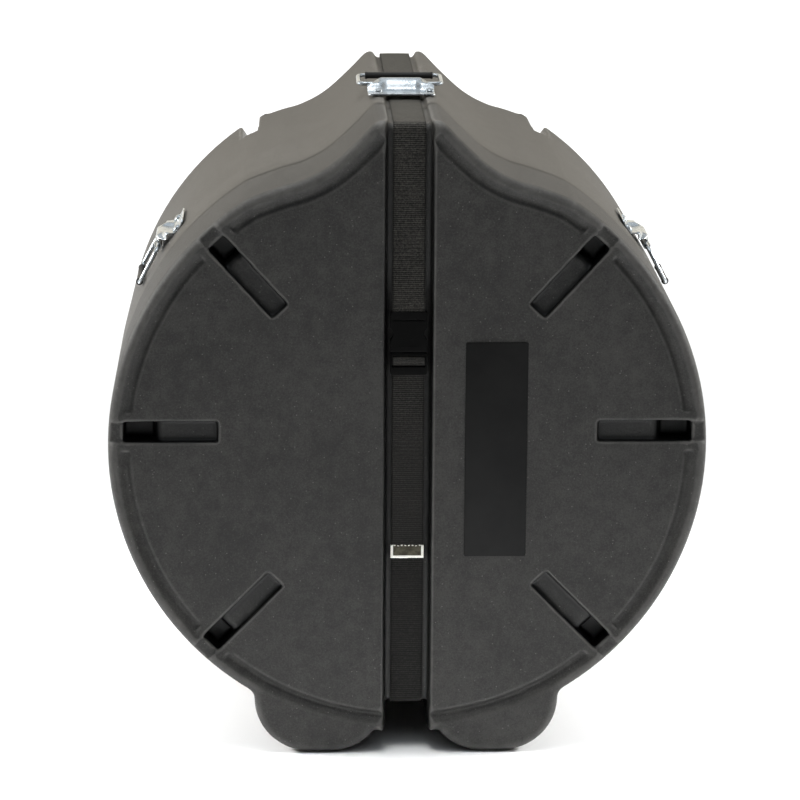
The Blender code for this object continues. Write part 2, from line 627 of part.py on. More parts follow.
def make_rivet(name, wall, place):
    """A rivet with a domed head outside, its clenched tail inside, and the washer under the tail."""
    under_head = SHEET + 2 * GAP
    washer_top = -wall - GAP
    washer_low = washer_top - WASHER_THICK
    tail_top = washer_low - GAP
    tail_low = tail_top - RIVET_TAIL_THICK
    profile = [(0, under_head + RIVET_DOME), (0.55 * RIVET_HEAD, under_head + 0.88 * RIVET_DOME),
               (0.88 * RIVET_HEAD, under_head + 0.5 * RIVET_DOME), (RIVET_HEAD, under_head + 0.15 * RIVET_DOME),
               (RIVET_HEAD, under_head), (RIVET_SHANK, under_head), (RIVET_SHANK, tail_top),
               (RIVET_TAIL, tail_top), (0.85 * RIVET_TAIL, tail_low), (0, tail_low)]
    turned(name, profile, place, PLATED_STEEL)
    ring = [(WASHER_RADIUS, washer_top), (WASHER_RADIUS, washer_low), (RIVET_HOLE, washer_low),
            (RIVET_HOLE, washer_top)]
    turned(name + "_washer", ring, place, PLATED_STEEL, closed=True)


def hole(name, place):
    bm = bmesh.new()
    bmesh.ops.create_cone(bm, cap_ends=True, segments=12, radius1=RIVET_HOLE, radius2=RIVET_HOLE, depth=60 * MM)
    cutter = add_object(name, finish_mesh(name, bm))
    cutter.matrix_world = place
    return cutter


def make_bail(name, tilt, place):
    """The wire bail through the plate's hook, and the grip on its far bar."""
    turn = place @ Matrix.Translation((0, HINGE_V - RIVET_V, HINGE_N)) @ Matrix.Rotation(math.radians(tilt), 4, "X")
    corner = BAIL_CORNER
    far = BAIL_LENGTH
    across = BAIL_HALF - corner
    points = arc(across, corner, corner, -90, 0, 3) + arc(across, far - corner, corner, 0, 90, 3)
    points += arc(-across, far - corner, corner, 90, 180, 3) + arc(-across, corner, corner, 180, 270, 3)
    curve = bpy.data.curves.new(name, "CURVE")
    curve.dimensions = "3D"
    curve.bevel_depth = WIRE_RADIUS
    curve.bevel_resolution = 2
    spline = curve.splines.new("POLY")
    spline.points.add(len(points) - 1)
    for knot, (u, v) in zip(spline.points, points):
        knot.co = (u, v, 0, 1)
    spline.use_cyclic_u = True
    curve.materials.append(PLATED_STEEL)
    wire = bpy.data.objects.new(name + "_wire", curve)
    PARTS.objects.link(wire)
    wire.matrix_world = turn
    bar = turn @ Matrix.Translation((0, far, 0)) @ Matrix.Rotation(math.radians(90), 4, "Y")
    chamfer = 0.8 * MM
    tube = [(GRIP_BORE, GRIP_HALF), (GRIP_RADIUS - chamfer, GRIP_HALF), (GRIP_RADIUS, GRIP_HALF - chamfer),
            (GRIP_RADIUS, chamfer - GRIP_HALF), (GRIP_RADIUS - chamfer, -GRIP_HALF), (GRIP_BORE, -GRIP_HALF)]
    turned(name + "_grip", tube, bar, GRIP_RUBBER, closed=True)


def make_handles(base):
    for name, wall, tilt, place in handle_frames():
        offset = Matrix.Translation((TOP_HANDLE_OFFSET if name == "top" else 0, 0, 0))
        tab = TOP_TAB if name == "top" else SIDE_TAB
        plate = make_sheet(name + "_handle_plate", tab, place @ offset)
        for side, mark in ((-1, "a"), (1, "b")):
            spot = place @ Matrix.Translation((side * RIVET_U, 0, 0))
            make_rivet(f"{name}_rivet_{mark}", wall, spot)
            drill = hole(f"{name}_hole_{mark}", spot)
            boolean(plate, drill)
            boolean(base, drill)
        make_bail(name + "_bail", tilt, place @ offset)


def main():
    make_lid()
    base = make_base()
    make_label()
    make_straps()
    make_female()
    make_male()
    make_tail()
    make_handles(base)


main()
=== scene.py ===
"""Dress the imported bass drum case: moulded shells, webbing strap, side release buckle and three handles.

Metres, +Z up. The origin is on the floor below the middle of the case, and the lid faces -Y.
"""
from __future__ import annotations

import logging
import math
from dataclasses import dataclass
from enum import Enum
from typing import Callable, Optional, Sequence, Union

import bmesh
import bpy
import numpy as np
from mathutils import Matrix, Vector
from mathutils.bvhtree import BVHTree

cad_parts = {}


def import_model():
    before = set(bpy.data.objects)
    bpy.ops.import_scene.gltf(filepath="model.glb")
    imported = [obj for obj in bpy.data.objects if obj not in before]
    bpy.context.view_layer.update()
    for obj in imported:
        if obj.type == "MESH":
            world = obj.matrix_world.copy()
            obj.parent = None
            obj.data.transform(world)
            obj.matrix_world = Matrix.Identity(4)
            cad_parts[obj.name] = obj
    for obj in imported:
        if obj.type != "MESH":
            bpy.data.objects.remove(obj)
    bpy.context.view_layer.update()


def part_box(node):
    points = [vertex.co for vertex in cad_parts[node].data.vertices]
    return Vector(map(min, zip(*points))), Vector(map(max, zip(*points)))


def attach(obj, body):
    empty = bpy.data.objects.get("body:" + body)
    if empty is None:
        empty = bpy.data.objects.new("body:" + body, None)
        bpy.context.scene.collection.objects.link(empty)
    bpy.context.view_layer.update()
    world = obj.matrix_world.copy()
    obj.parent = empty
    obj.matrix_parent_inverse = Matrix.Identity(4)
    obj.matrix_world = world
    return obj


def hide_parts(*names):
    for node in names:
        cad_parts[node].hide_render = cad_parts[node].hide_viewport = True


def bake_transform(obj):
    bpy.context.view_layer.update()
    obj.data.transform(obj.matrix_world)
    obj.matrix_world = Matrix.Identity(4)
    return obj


LOG = logging.getLogger("bass_drum_case")
MM = 0.001
Point = tuple[float, float]
Place = tuple[float, float, float]
Corners = tuple[Place, Place]
Number = Union[int, float]


def smoothstep(low: float, high: float, value: float) -> float:
    """Rise smoothly from 0 at low to 1 at high.

    Args:
        low: Where the rise starts.
        high: Where it ends.
        value: Where it is asked for.

    Returns:
        A number from 0 to 1.
    """
    share = min(max((value - low) / (high - low), 0.0), 1.0)
    return share * share * (3 - 2 * share)


def arc(x: float, z: float, radius: float, start: float, end: float, count: int) -> list[Point]:
    """Points on an arc.

    Args:
        x: Centre across.
        z: Centre upwards.
        radius: Radius of the arc.
        start: First angle in degrees.
        end: Last angle in degrees.
        count: How many steps to take.

    Returns:
        The points, from the first angle to the last.
    """
    angles = [math.radians(start + (end - start) * i / count) for i in range(count + 1)]
    return [(x + radius * math.cos(a), z + radius * math.sin(a)) for a in angles]


def smooth_through(points: Sequence[Point], steps: int) -> list[Point]:
    """Points on a smooth curve through the inner points.

    Args:
        points: The points. The first and last only set the direction.
        steps: Steps between two points.

    Returns:
        The points of the curve.
    """
    curve: list[Point] = []
    for a, b, c, d in zip(points, points[1:], points[2:], points[3:]):
        for i in range(steps):
            t = i / steps
            curve.append(tuple(
                0.5 * (2 * q + (r - p) * t + (2 * p - 5 * q + 4 * r - s) * t * t
                       + (3 * q - p - 3 * r + s) * t ** 3)
                for p, q, r, s in zip(a, b, c, d)))
    curve.append(tuple(points[-2]))
    return curve


def lengths_along(path: Sequence[Point]) -> list[float]:
    """The length of a path up to each of its points.

    Args:
        path: The points of the path.

    Returns:
        One length for each point, 0 at the first.
    """
    lengths = [0.0]
    for a, b in zip(path, path[1:]):
        lengths.append(lengths[-1] + math.dist(a, b))
    return lengths


def point_along(path: Sequence[Point], lengths: Sequence[float], distance: float) -> Point:
    """The point at a distance along a path.

    Args:
        path: The points of the path.
        lengths: The length up to each of them.
        distance: How far along the point lies.

    Returns:
        The point.
    """
    for (a, b), (low, high) in zip(zip(path, path[1:]), zip(lengths, lengths[1:])):
        if distance <= high:
            share = (distance - low) / max(high - low, 1e-9)
            return (a[0] + (b[0] - a[0]) * share, a[1] + (b[1] - a[1]) * share)
    return path[-1]


def thicken(obj: bpy.types.Object, thick: float, edge: float, sharp: float, even: bool) -> None:
    """Give a sheet its thickness and round its edges.

    Args:
        obj: The sheet's object.
        thick: Thickness of the sheet.
        edge: Width of the rounding.
        sharp: Angle in degrees above which an edge is rounded.
        even: Keep the thickness even round tight turns.
    """
    solid = obj.modifiers.new("thickness", "SOLIDIFY")
    solid.thickness = thick
    solid.offset = 0
    solid.use_even_offset = even
    soft = obj.modifiers.new("soft_edges", "BEVEL")
    soft.width = edge
    soft.segments = 2
    soft.limit_method = "ANGLE"
    soft.angle_limit = math.radians(sharp)


class CaseBody(Enum):
    """The moving bodies of the case."""

    BASE = "base"
    LID = "lid"
    BUCKLE_LOWER = "buckle_lower"
    PRONG_LEFT = "prong_left"
    PRONG_RIGHT = "prong_right"
    TOP_BAIL = "top_bail"
    LEFT_BAIL = "left_bail"
    RIGHT_BAIL = "right_bail"


class Signal:
    """One output of a material's graph, which adds, multiplies and compares like a number."""

    def __init__(self, graph: "Graph", socket: bpy.types.NodeSocket) -> None:
        """Keep the graph and the socket."""
        self.graph = graph
        self.socket = socket

    def __add__(self, other: "Operand") -> "Signal":
        """This plus other."""
        return self.graph.maths("ADD", self, other)

    def __radd__(self, other: Number) -> "Signal":
        """Other plus this."""
        return self.graph.maths("ADD", other, self)

    def __sub__(self, other: "Operand") -> "Signal":
        """This minus other."""
        return self.graph.maths("SUBTRACT", self, other)

    def __rsub__(self, other: Number) -> "Signal":
        """Other minus this."""
        return self.graph.maths("SUBTRACT", other, self)

    def __mul__(self, other: "Operand") -> "Signal":
        """This times other."""
        return self.graph.maths("MULTIPLY", self, other)

    def __rmul__(self, other: Number) -> "Signal":
        """Other times this."""
        return self.graph.maths("MULTIPLY", other, self)

    def __lt__(self, other: "Operand") -> "Signal":
        """1 where this is less than other, else 0."""
        return self.graph.maths("LESS_THAN", self, other)

    def sine(self) -> "Signal":
        """The sine of this, in radians."""
        return self.graph.maths("SINE", self)

    def ease(self, low: float, high: float) -> "Signal":
        """Rise smoothly from 0 at low to 1 at high."""
        ranged = self.graph.node("ShaderNodeMapRange", {"Value": self, "From Min": low, "From Max": high},
                                 interpolation_type="SMOOTHSTEP")
        return Signal(self.graph, ranged.outputs["Result"])


Operand = Union[Signal, int, float]
Colour = tuple[float, float, float]


class Graph:
    """The node tree of one material, or of the world."""

    def __init__(self, name: Optional[str] = None) -> None:
        """Start a material with its shader, or an empty graph.

        Args:
            name: Name of the material.
        """
        if name is not None:
            self.material = bpy.data.materials.new(name)
            self.material.use_nodes = True
            self.tree = self.material.node_tree
            self.shader = self.tree.nodes["Principled BSDF"]

    @classmethod
    def of_world(cls, world: bpy.types.World) -> "Graph":
        """The node tree of a world.

        Args:
            world: The world.

        Returns:
            Its graph.
        """
        graph = cls()
        graph.tree = world.node_tree
        return graph

    def node(self, kind: str, inputs: dict, **settings: object) -> bpy.types.Node:
        """Make one node, set it and feed it.

        Args:
            kind: Type of the node.
            inputs: Numbers, colours or signals by the name or index of the input.
            **settings: Properties of the node.

        Returns:
            The node.
        """
        made = self.tree.nodes.new(kind)
        for key, value in settings.items():
            setattr(made, key, value)
        for key, value in inputs.items():
            self.feed(made.inputs[key], value)
        return made

    def feed(self, socket: bpy.types.NodeSocket, value: object) -> None:
        """Link a signal to an input, or set the input to a plain value.

        Args:
            socket: The input.
            value: A signal, a number or a colour.
        """
        if isinstance(value, Signal):
            self.tree.links.new(value.socket, socket)
        elif isinstance(value, tuple) and len(value) == 3 and socket.type == "RGBA":
            socket.default_value = (*value, 1.0)
        else:
            socket.default_value = value

    def maths(self, operation: str, *terms: Operand) -> Signal:
        """One sum, product or other step of arithmetic."""
        made = self.node("ShaderNodeMath", dict(enumerate(terms)), operation=operation)
        return Signal(self, made.outputs[0])

    def place(self, stretch: Place = (1.0, 1.0, 1.0)) -> Signal:
        """The place on the object.

        Args:
            stretch: How much it is stretched along each axis.

        Returns:
            The place in metres.
        """
        source = Signal(self, self.node("ShaderNodeTexCoord", {}).outputs["Object"])
        mapped = self.node("ShaderNodeMapping", {"Vector": source, "Scale": stretch})
        return Signal(self, mapped.outputs["Vector"])

    def across_and_along(self) -> tuple[Signal, Signal]:
        """The two coordinates of the piece's own map, in metres across and along the band."""
        source = Signal(self, self.node("ShaderNodeUVMap", {}, uv_map="band").outputs["UV"])
        return self.axis(source, "X"), self.axis(source, "Y")

    def axis(self, vector: Signal, name: str) -> Signal:
        """One coordinate of a vector, X, Y or Z."""
        return Signal(self, self.node("ShaderNodeSeparateXYZ", {0: vector}).outputs[name])

    def mark(self, name: str) -> Signal:
        """A number that the piece carries at each of its points."""
        return Signal(self, self.node("ShaderNodeAttribute", {}, attribute_name=name).outputs["Fac"])

    def noise(self, place: Signal, scale: float, detail: float = 2.0, roughness: float = 0.5) -> Signal:
        """Soft noise from 0 to 1 at a place."""
        made = self.node("ShaderNodeTexNoise", {"Vector": place, "Scale": scale, "Detail": detail,
                                                "Roughness": roughness})
        return Signal(self, made.outputs["Fac"])

    def specks(self, place: Signal, scale: float, size: float, share: float) -> Signal:
        """Small round specks.

        Args:
            place: Where they lie.
            scale: Cells per metre.
            size: Radius of a speck as a part of its cell.
            share: How many cells hold one, from 0 to 1.

        Returns:
            1 in a speck and 0 outside.
        """
        cells = self.node("ShaderNodeTexVoronoi", {"Vector": place, "Scale": scale})
        near = 1 - Signal(self, cells.outputs["Distance"]).ease(0.45 * size, size)
        parts = self.node("ShaderNodeSeparateColor", {0: Signal(self, cells.outputs["Color"])})
        return near * (Signal(self, parts.outputs["Red"]) < share)

    def blend(self, share: Operand, low: Union[Colour, Signal], high: Union[Colour, Signal]) -> Signal:
        """A colour between low and high.

        Args:
            share: 0 for low and 1 for high.
            low: The one colour.
            high: The other.

        Returns:
            The mixed colour.
        """
        made = self.node("ShaderNodeMix", {}, data_type="RGBA")
        self.feed(made.inputs["Factor"], share)
        self.feed(made.inputs[6], low)
        self.feed(made.inputs[7], high)
        return Signal(self, made.outputs[2])

    def relief(self, height: Signal, distance: float, strength: float = 1.0) -> Signal:
        """A bump of that height in metres."""
        made = self.node("ShaderNodeBump", {"Height": height, "Distance": distance, "Strength": strength})
        return Signal(self, made.outputs["Normal"])

    def finish(self, **inputs: object) -> bpy.types.Material:
        """Feed the shader's inputs.

        Args:
            **inputs: Values or signals, with spaces in the inputs' names written as underscores.

        Returns:
            The material.
        """
        for key, value in inputs.items():
            self.feed(self.shader.inputs[key.replace("_", " ")], value)
        return self.material


@dataclass(frozen=True)
class MouldedPlastic:
    """Black moulded polyethylene: painted shade in its hollows, wear and painted highlight on its edges,
    dust and painted sheen on its open surfaces, and optionally a painted shadow beside the joint.
    """

    name: str = "moulded_polyethylene"
    slot: str = "moulded_shell"
    # The first colour is painted shade, which hollows and creases are blended towards.
    painted_shade: Colour = (0.0030, 0.0030, 0.0029)
    dark: Colour = (0.0150, 0.0148, 0.0143)
    light: Colour = (0.0400, 0.0393, 0.0374)
    # Colour of wear and painted highlight on convex edges.
    worn: Colour = (0.1300, 0.1270, 0.1200)
    speck: Colour = (0.17, 0.165, 0.155)
    dust_and_sheen: Colour = (0.235, 0.212, 0.178)
    film: float = 0.035
    roughness: float = 0.53
    # Strength of the painted shadow beside the joint.
    seam_shadow: float = 0.0
    joint: float = -164.5 * MM

    def build(self) -> bpy.types.Material:
        """Make the material.

        Returns:
            The material.
        """
        graph = Graph(self.name)
        place = graph.place()
        cloud = graph.noise(place, 9.0, 3.0, 0.6)
        mottle = graph.noise(place, 75.0, 3.0, 0.6)
        grain = graph.noise(place, 480.0, 3.0, 0.7)
        scratch = graph.noise(graph.place((60.0, 7.0, 60.0)), 9.0, 4.0, 0.75).ease(0.56, 0.72)
        # How openly each point lies, from rays cast on the mesh; it masks the painted shade and the dust.
        open_air = graph.mark("exposed").ease(0.48, 0.98)
        edge = graph.mark("worn").ease(0.012, 0.075)
        shade = 0.22 * cloud + 0.26 * mottle + 0.52 * grain
        colour = graph.blend(shade.ease(0.38, 0.64), self.dark, self.light)
        fleck = graph.specks(place, 150.0, 0.145, 0.45)
        grit = graph.specks(place, 330.0, 0.24, 0.40)
        colour = graph.blend(0.60 * fleck, colour, self.speck)
        colour = graph.blend(0.20 * grit, colour, self.speck)
        # Wear and painted highlight: convex edges, such as the rim's crest and the slot mouths, are
        # lightened.
        colour = graph.blend(edge * (0.25 + 0.55 * mottle), colour, self.worn)
        haze = self.film * ((0.65 + 0.5 * cloud) * (0.15 + 1.7 * mottle) + 0.45 * scratch)
        # Dust and painted sheen: a pale film over open surfaces; the base's heavier film paints its walls
        # lighter than the lid's, standing in for their brighter reflection.
        colour = graph.blend(haze * open_air, colour, self.dust_and_sheen)
        # Painted shade: slot pockets, creases, channel walls and the insides turn near black where few rays
        # get out.
        colour = graph.blend(open_air, self.painted_shade, colour)
        # Painted shadow: a dark band on the base just behind the lid's mouth, blended towards the painted
        # shade.
        if self.seam_shadow:
            seam_shadow_band = 1 - graph.axis(place, "Y").ease(self.joint + 8 * MM, self.joint + 22 * MM)
            colour = graph.blend(self.seam_shadow * seam_shadow_band, colour, self.painted_shade)
        rough = self.roughness - 0.27 + 0.22 * open_air + 0.10 * mottle + 0.05 * cloud + 0.4 * haze
        height = 0.75 * grain + 0.25 * graph.noise(place, 190.0, 2.0)
        return graph.finish(Base_Color=colour, Roughness=rough,
                            Normal=graph.relief(height, 0.0007, 0.8), Specular_IOR_Level=0.42)


@dataclass(frozen=True)
class SmoothPlastic:
    """The smooth bare plate on the lid's face, glossier and darker than the shell."""

    name: str = "smooth_plate_plastic"
    slot: str = "smooth_plate"
    dark: Colour = (0.0050, 0.0050, 0.0050)
    light: Colour = (0.0085, 0.0084, 0.0081)

    def build(self) -> bpy.types.Material:
        """Make the material.

        Returns:
            The material.
        """
        graph = Graph(self.name)
        place = graph.place()
        cloud = graph.noise(place, 26.0, 4.0, 0.6)
        grain = graph.noise(place, 900.0, 2.0, 0.6)
        streak = graph.noise(graph.place((240.0, 60.0, 9.0)), 1.0, 3.0, 0.7)
        colour = graph.blend(cloud.ease(0.3, 0.7), self.dark, self.light)
        rough = 0.22 + 0.10 * cloud + 0.08 * streak
        return graph.finish(Base_Color=colour, Roughness=rough, Specular_IOR_Level=0.18,
                            Normal=graph.relief(0.6 * cloud + 0.1 * grain, 0.0006, 0.35))


@dataclass(frozen=True)
class WovenWebbing:
    """Black webbing: cross ribs, fine warp yarns, denser selvedges, a soft sheen and painted shade towards
    its lower end.
    """

    name: str = "woven_webbing"
    slot: str = "webbing"
    dark: Colour = (0.0016, 0.0015, 0.0013)
    light: Colour = (0.074, 0.070, 0.061)
    rib: float = 2.4 * MM
    yarn: float = 1.35 * MM
    half_width: float = 19.05 * MM

    def build(self) -> bpy.types.Material:
        """Make the material.

        Returns:
            The material.
        """
        graph = Graph(self.name)
        across, along = graph.across_and_along()
        turn = 2 * math.pi
        rib = 0.5 + 0.5 * (along * (turn / self.rib)).sine()
        yarn = 0.5 + 0.5 * (across * (turn / self.yarn) + along * (turn / (2 * self.rib))).sine()
        band = 0.5 + 0.5 * (along * (turn / (2 * self.rib))).sine()
        place = graph.place()
        fuzz = graph.noise(place, 480.0, 3.0, 0.75)
        wear = graph.noise(place, 45.0, 3.0, 0.6)
        weave = rib * (0.40 + 0.60 * yarn)
        edge = graph.maths("ABSOLUTE", across).ease(self.half_width - 2.2 * MM, self.half_width - 1.2 * MM)
        # Painted shade: the webbing is darker the lower it runs on the case.
        painted_low_shade = 0.42 + 0.58 * graph.axis(place, "Z").ease(0.16, 0.62)
        shade = (0.50 * weave + 0.10 * band + 1.5 * fuzz + 0.20 * wear - 0.80) * (1 - 0.45 * edge) * painted_low_shade
        colour = graph.blend(shade.ease(-0.05, 0.85), self.dark, self.light)
        rough = 0.72 - 0.14 * weave + 0.10 * fuzz
        height = 0.7 * weave + 0.3 * fuzz
        return graph.finish(Base_Color=colour, Roughness=rough, Normal=graph.relief(height, 0.0006, 0.7),
                            Specular_IOR_Level=0.28, Sheen_Weight=0.09, Sheen_Roughness=0.45,
                            Sheen_Tint=(1.0, 0.95, 0.86))


@dataclass(frozen=True)
class BucklePlastic:
    """Black acetal of the buckle: nearly black, smooth and glossy with fine scuffs."""

    name: str = "buckle_acetal"
    slot: str = "buckle_plastic"
    dark: Colour = (0.0010, 0.0010, 0.0010)
    light: Colour = (0.0028, 0.0027, 0.0026)

    def build(self) -> bpy.types.Material:
        """Make the material.

        Returns:
            The material.
        """
        graph = Graph(self.name)
        place = graph.place()
        cloud = graph.noise(place, 140.0, 3.0, 0.6)
        grain = graph.noise(place, 1600.0, 2.0, 0.6)
        colour = graph.blend(cloud, self.dark, self.light)
        return graph.finish(Base_Color=colour, Roughness=0.16 + 0.12 * cloud, Specular_IOR_Level=0.08,
                            Normal=graph.relief(0.5 * cloud + 0.5 * grain, 0.0002, 0.2))


@dataclass(frozen=True)
class ZincPlate:
    """Bright zinc plate on steel, with drawn streaks, faint spangle and duller patches."""

    name: str = "bright_zinc_plate"
    slot: str = "plated_steel"
    dark: Colour = (0.40, 0.45, 0.49)
    light: Colour = (0.82, 0.86, 0.89)

    def build(self) -> bpy.types.Material:
        """Make the material.

        Returns:
            The material.
        """
        graph = Graph(self.name)
        place = graph.place()
        patch = graph.noise(place, 55.0, 4.0, 0.65)
        spangle = graph.noise(place, 420.0, 3.0, 0.7)
        streak = graph.noise(graph.place((120.0, 2600.0, 2600.0)), 1.0, 3.0, 0.6)
        colour = graph.blend((0.6 * patch + 0.4 * spangle).ease(0.28, 0.66), self.dark, self.light)
        rough = 0.15 + 0.16 * patch + 0.10 * streak
        height = 0.5 * streak + 0.5 * spangle
        return graph.finish(Base_Color=colour, Roughness=rough, Metallic=1.0,
                            Normal=graph.relief(height, 0.00003, 0.35))


@dataclass(frozen=True)
class ClipPlate:
    """Nickel plate of the strap's end clip: painted highlights on its fold, teeth and edges, and a painted
    dark reflection on its flats.
    """

    name: str = "clip_nickel_plate"
    slot: str = "clip_steel"
    dark: Colour = (0.050, 0.046, 0.034)
    light: Colour = (0.110, 0.102, 0.078)
    painted_highlight: Colour = (0.90, 0.88, 0.82)
    half_width: float = 17.0 * MM
    tall: float = 13.5 * MM

    def build(self) -> bpy.types.Material:
        """Make the material.

        Returns:
            The material.
        """
        graph = Graph(self.name)
        place = graph.place()
        across, along = graph.across_and_along()
        patch = graph.noise(place, 160.0, 4.0, 0.65)
        streak = graph.noise(graph.place((180.0, 3000.0, 3000.0)), 1.0, 3.0, 0.6)
        side = graph.maths("ABSOLUTE", across).ease(self.half_width - 0.7 * MM, self.half_width - 0.2 * MM)
        fold = along.ease(self.tall - 0.2 * MM, self.tall + 0.6 * MM)
        tips = (0.5 - 0.5 * (across * (8 * math.pi / self.half_width) + math.pi / 2).sine()).ease(0.35, 0.65)
        teeth = tips * (1 - along.ease(1.3 * MM, 2.1 * MM))
        painted_highlight_mask = graph.maths("MAXIMUM", graph.maths("MAXIMUM", side, fold), teeth)
        # Painted reflection: the flats are dark olive, as if mirroring dark surroundings.
        colour = graph.blend(patch.ease(0.3, 0.7), self.dark, self.light)
        # Painted highlight: fold, teeth and edges are near white.
        colour = graph.blend(painted_highlight_mask * (0.75 + 0.25 * patch), colour, self.painted_highlight)
        return graph.finish(Base_Color=colour, Roughness=0.24 + 0.14 * patch + 0.06 * streak - 0.08 * painted_highlight_mask,
                            Metallic=1.0, Normal=graph.relief(0.5 * patch + 0.5 * streak, 0.00003, 0.4))


@dataclass(frozen=True)
class GripRubber:
    """Black grip of a bail, slightly dull with a fine moulded grain."""

    name: str = "grip_rubber"
    slot: str = "grip_rubber"
    dark: Colour = (0.0060, 0.0060, 0.0060)
    light: Colour = (0.0160, 0.0155, 0.0150)

    def build(self) -> bpy.types.Material:
        """Make the material.

        Returns:
            The material.
        """
        graph = Graph(self.name)
        place = graph.place()
        grain = graph.noise(place, 1300.0, 3.0, 0.65)
        wear = graph.noise(place, 90.0, 3.0, 0.6)
        colour = graph.blend((0.5 * grain + 0.5 * wear).ease(0.3, 0.7), self.dark, self.light)
        return graph.finish(Base_Color=colour, Roughness=0.42 + 0.16 * wear,
                            Normal=graph.relief(grain, 0.0003, 0.4))


Finish = Union[MouldedPlastic, SmoothPlastic, WovenWebbing, BucklePlastic, ZincPlate, ClipPlate, GripRubber]


class Finishes:
    """Every finish of the case, each made once."""

    def __init__(self) -> None:
        """Start with none made."""
        self._made: dict[str, bpy.types.Material] = {}

    def of(self, finish: Finish) -> bpy.types.Material:
        """The material of a finish.

        Args:
            finish: The finish.

        Returns:
            Its material, made the first time that it is asked for.
        """
        if finish.name not in self._made:
            self._made[finish.name] = finish.build()
        return self._made[finish.name]


FINISHES = Finishes()


class Form:
    """A mesh while it is being shaped, in the case's own metres."""

    def __init__(self) -> None:
        """Start empty."""
        self.bm = bmesh.new()

    def loft(self, rings: Sequence[Sequence[Vector]]) -> "Form":
        """Extrude a closed outline through a row of rings with equal numbers of points.

        Args:
            rings: The rings, each a list of points in the same order.

        Returns:
            This form.
        """
        verts = [self.bm.verts.new(point) for point in rings[0]]
        cap = self.bm.faces.new(verts)
        for number, (before, ring) in enumerate(zip(rings, rings[1:])):
            order = {tuple(Vector(point)): i for i, point in enumerate(before)}
            pushed = bmesh.ops.extrude_face_region(self.bm, geom=[cap])
            if number:
                bmesh.ops.delete(self.bm, geom=[cap], context="FACES_ONLY")
            cap = next(item for item in pushed["geom"] if isinstance(item, bmesh.types.BMFace))
            places = [(vert, order[tuple(vert.co)]) for vert in cap.verts]
            for vert, index in places:
                vert.co = ring[index]
        return self

    def box(self, low: Sequence[float], high: Sequence[float]) -> "Form":
        """Add a box.

        Args:
            low: Its lowest corner.
            high: Its highest corner.

        Returns:
            This form.
        """
        made = bmesh.ops.create_cube(self.bm, size=1.0)["verts"]
        low, high = Vector(low), Vector(high)
        bmesh.ops.scale(self.bm, vec=high - low, verts=made)
        bmesh.ops.translate(self.bm, vec=(low + high) / 2, verts=made)
        return self

    def rod(self, low: Sequence[float], high: Sequence[float], radius: float, sides: int) -> "Form":
        """Add a round rod.

        Args:
            low: Middle of its one end.
            high: Middle of its other end.
            radius: Its radius.
            sides: How many flat sides it has.

        Returns:
            This form.
        """
        low, high = Vector(low), Vector(high)
        made = bmesh.ops.create_cone(self.bm, cap_ends=True, segments=sides, radius1=radius, radius2=radius,
                                     depth=(high - low).length)["verts"]
        turn = Vector((0, 0, 1)).rotation_difference(high - low).to_matrix().to_4x4()
        bmesh.ops.transform(self.bm, matrix=Matrix.Translation((low + high) / 2) @ turn, verts=made)
        return self

    def spun(self, profile: Sequence[Point], steps: int) -> "Form":
        """Spin a profile of radius and height points about the height axis.

        Args:
            profile: Radius and height points.
            steps: Steps of the full turn.

        Returns:
            This form.
        """
        verts = [self.bm.verts.new((radius, 0, height)) for radius, height in profile]
        edges = [self.bm.edges.new(pair) for pair in zip(verts, verts[1:])]
        bmesh.ops.spin(self.bm, geom=verts + edges, cent=(0, 0, 0), axis=(0, 0, 1), angle=2 * math.pi,
                       steps=steps, use_merge=True)
        bmesh.ops.remove_doubles(self.bm, verts=self.bm.verts, dist=1e-6)
        return self

    def rounded(self, width: float, segments: int = 3, angle: float = 30) -> "Form":
        """Round every sharp edge.

        Args:
            width: Width of the rounding.
            segments: How many flats it has.
            angle: Angle in degrees above which an edge is sharp.

        Returns:
            This form.
        """
        limit = math.radians(angle)
        sharp = [edge for edge in self.bm.edges
                 if len(edge.link_faces) == 2 and edge.calc_face_angle(0) > limit]
        return self._bevel(sharp, width, segments)

    def corners_rounded(self, width: float, segments: int) -> "Form":
        """Round the corners that are seen from the front.

        Args:
            width: Width of the rounding.
            segments: How many flats it has.

        Returns:
            This form.
        """
        upright = [edge for edge in self.bm.edges
                   if abs((edge.verts[0].co - edge.verts[1].co).normalized().y) > 0.9]
        return self._bevel(upright, width, segments)

    def _bevel(self, edges: list[bmesh.types.BMEdge], width: float, segments: int) -> "Form":
        """Round a list of edges."""
        bmesh.ops.bevel(self.bm, geom=edges, offset=width, offset_type="OFFSET", segments=segments,
                        profile=0.5, affect="EDGES", clamp_overlap=True, material=-1)
        return self

    def placed(self, matrix: Matrix) -> "Form":
        """Move the whole form."""
        bmesh.ops.transform(self.bm, matrix=matrix, verts=self.bm.verts)
        return self

    def mesh(self, name: str, outward: bool = True) -> bpy.types.Mesh:
        """End the shaping and give the mesh.

        Args:
            name: Name of the mesh.
            outward: Turn all faces outwards first.

        Returns:
            The mesh.
        """
        if outward:
            bmesh.ops.recalc_face_normals(self.bm, faces=self.bm.faces)
        mesh = bpy.data.meshes.new(name)
        self.bm.to_mesh(mesh)
        self.bm.free()
        return mesh


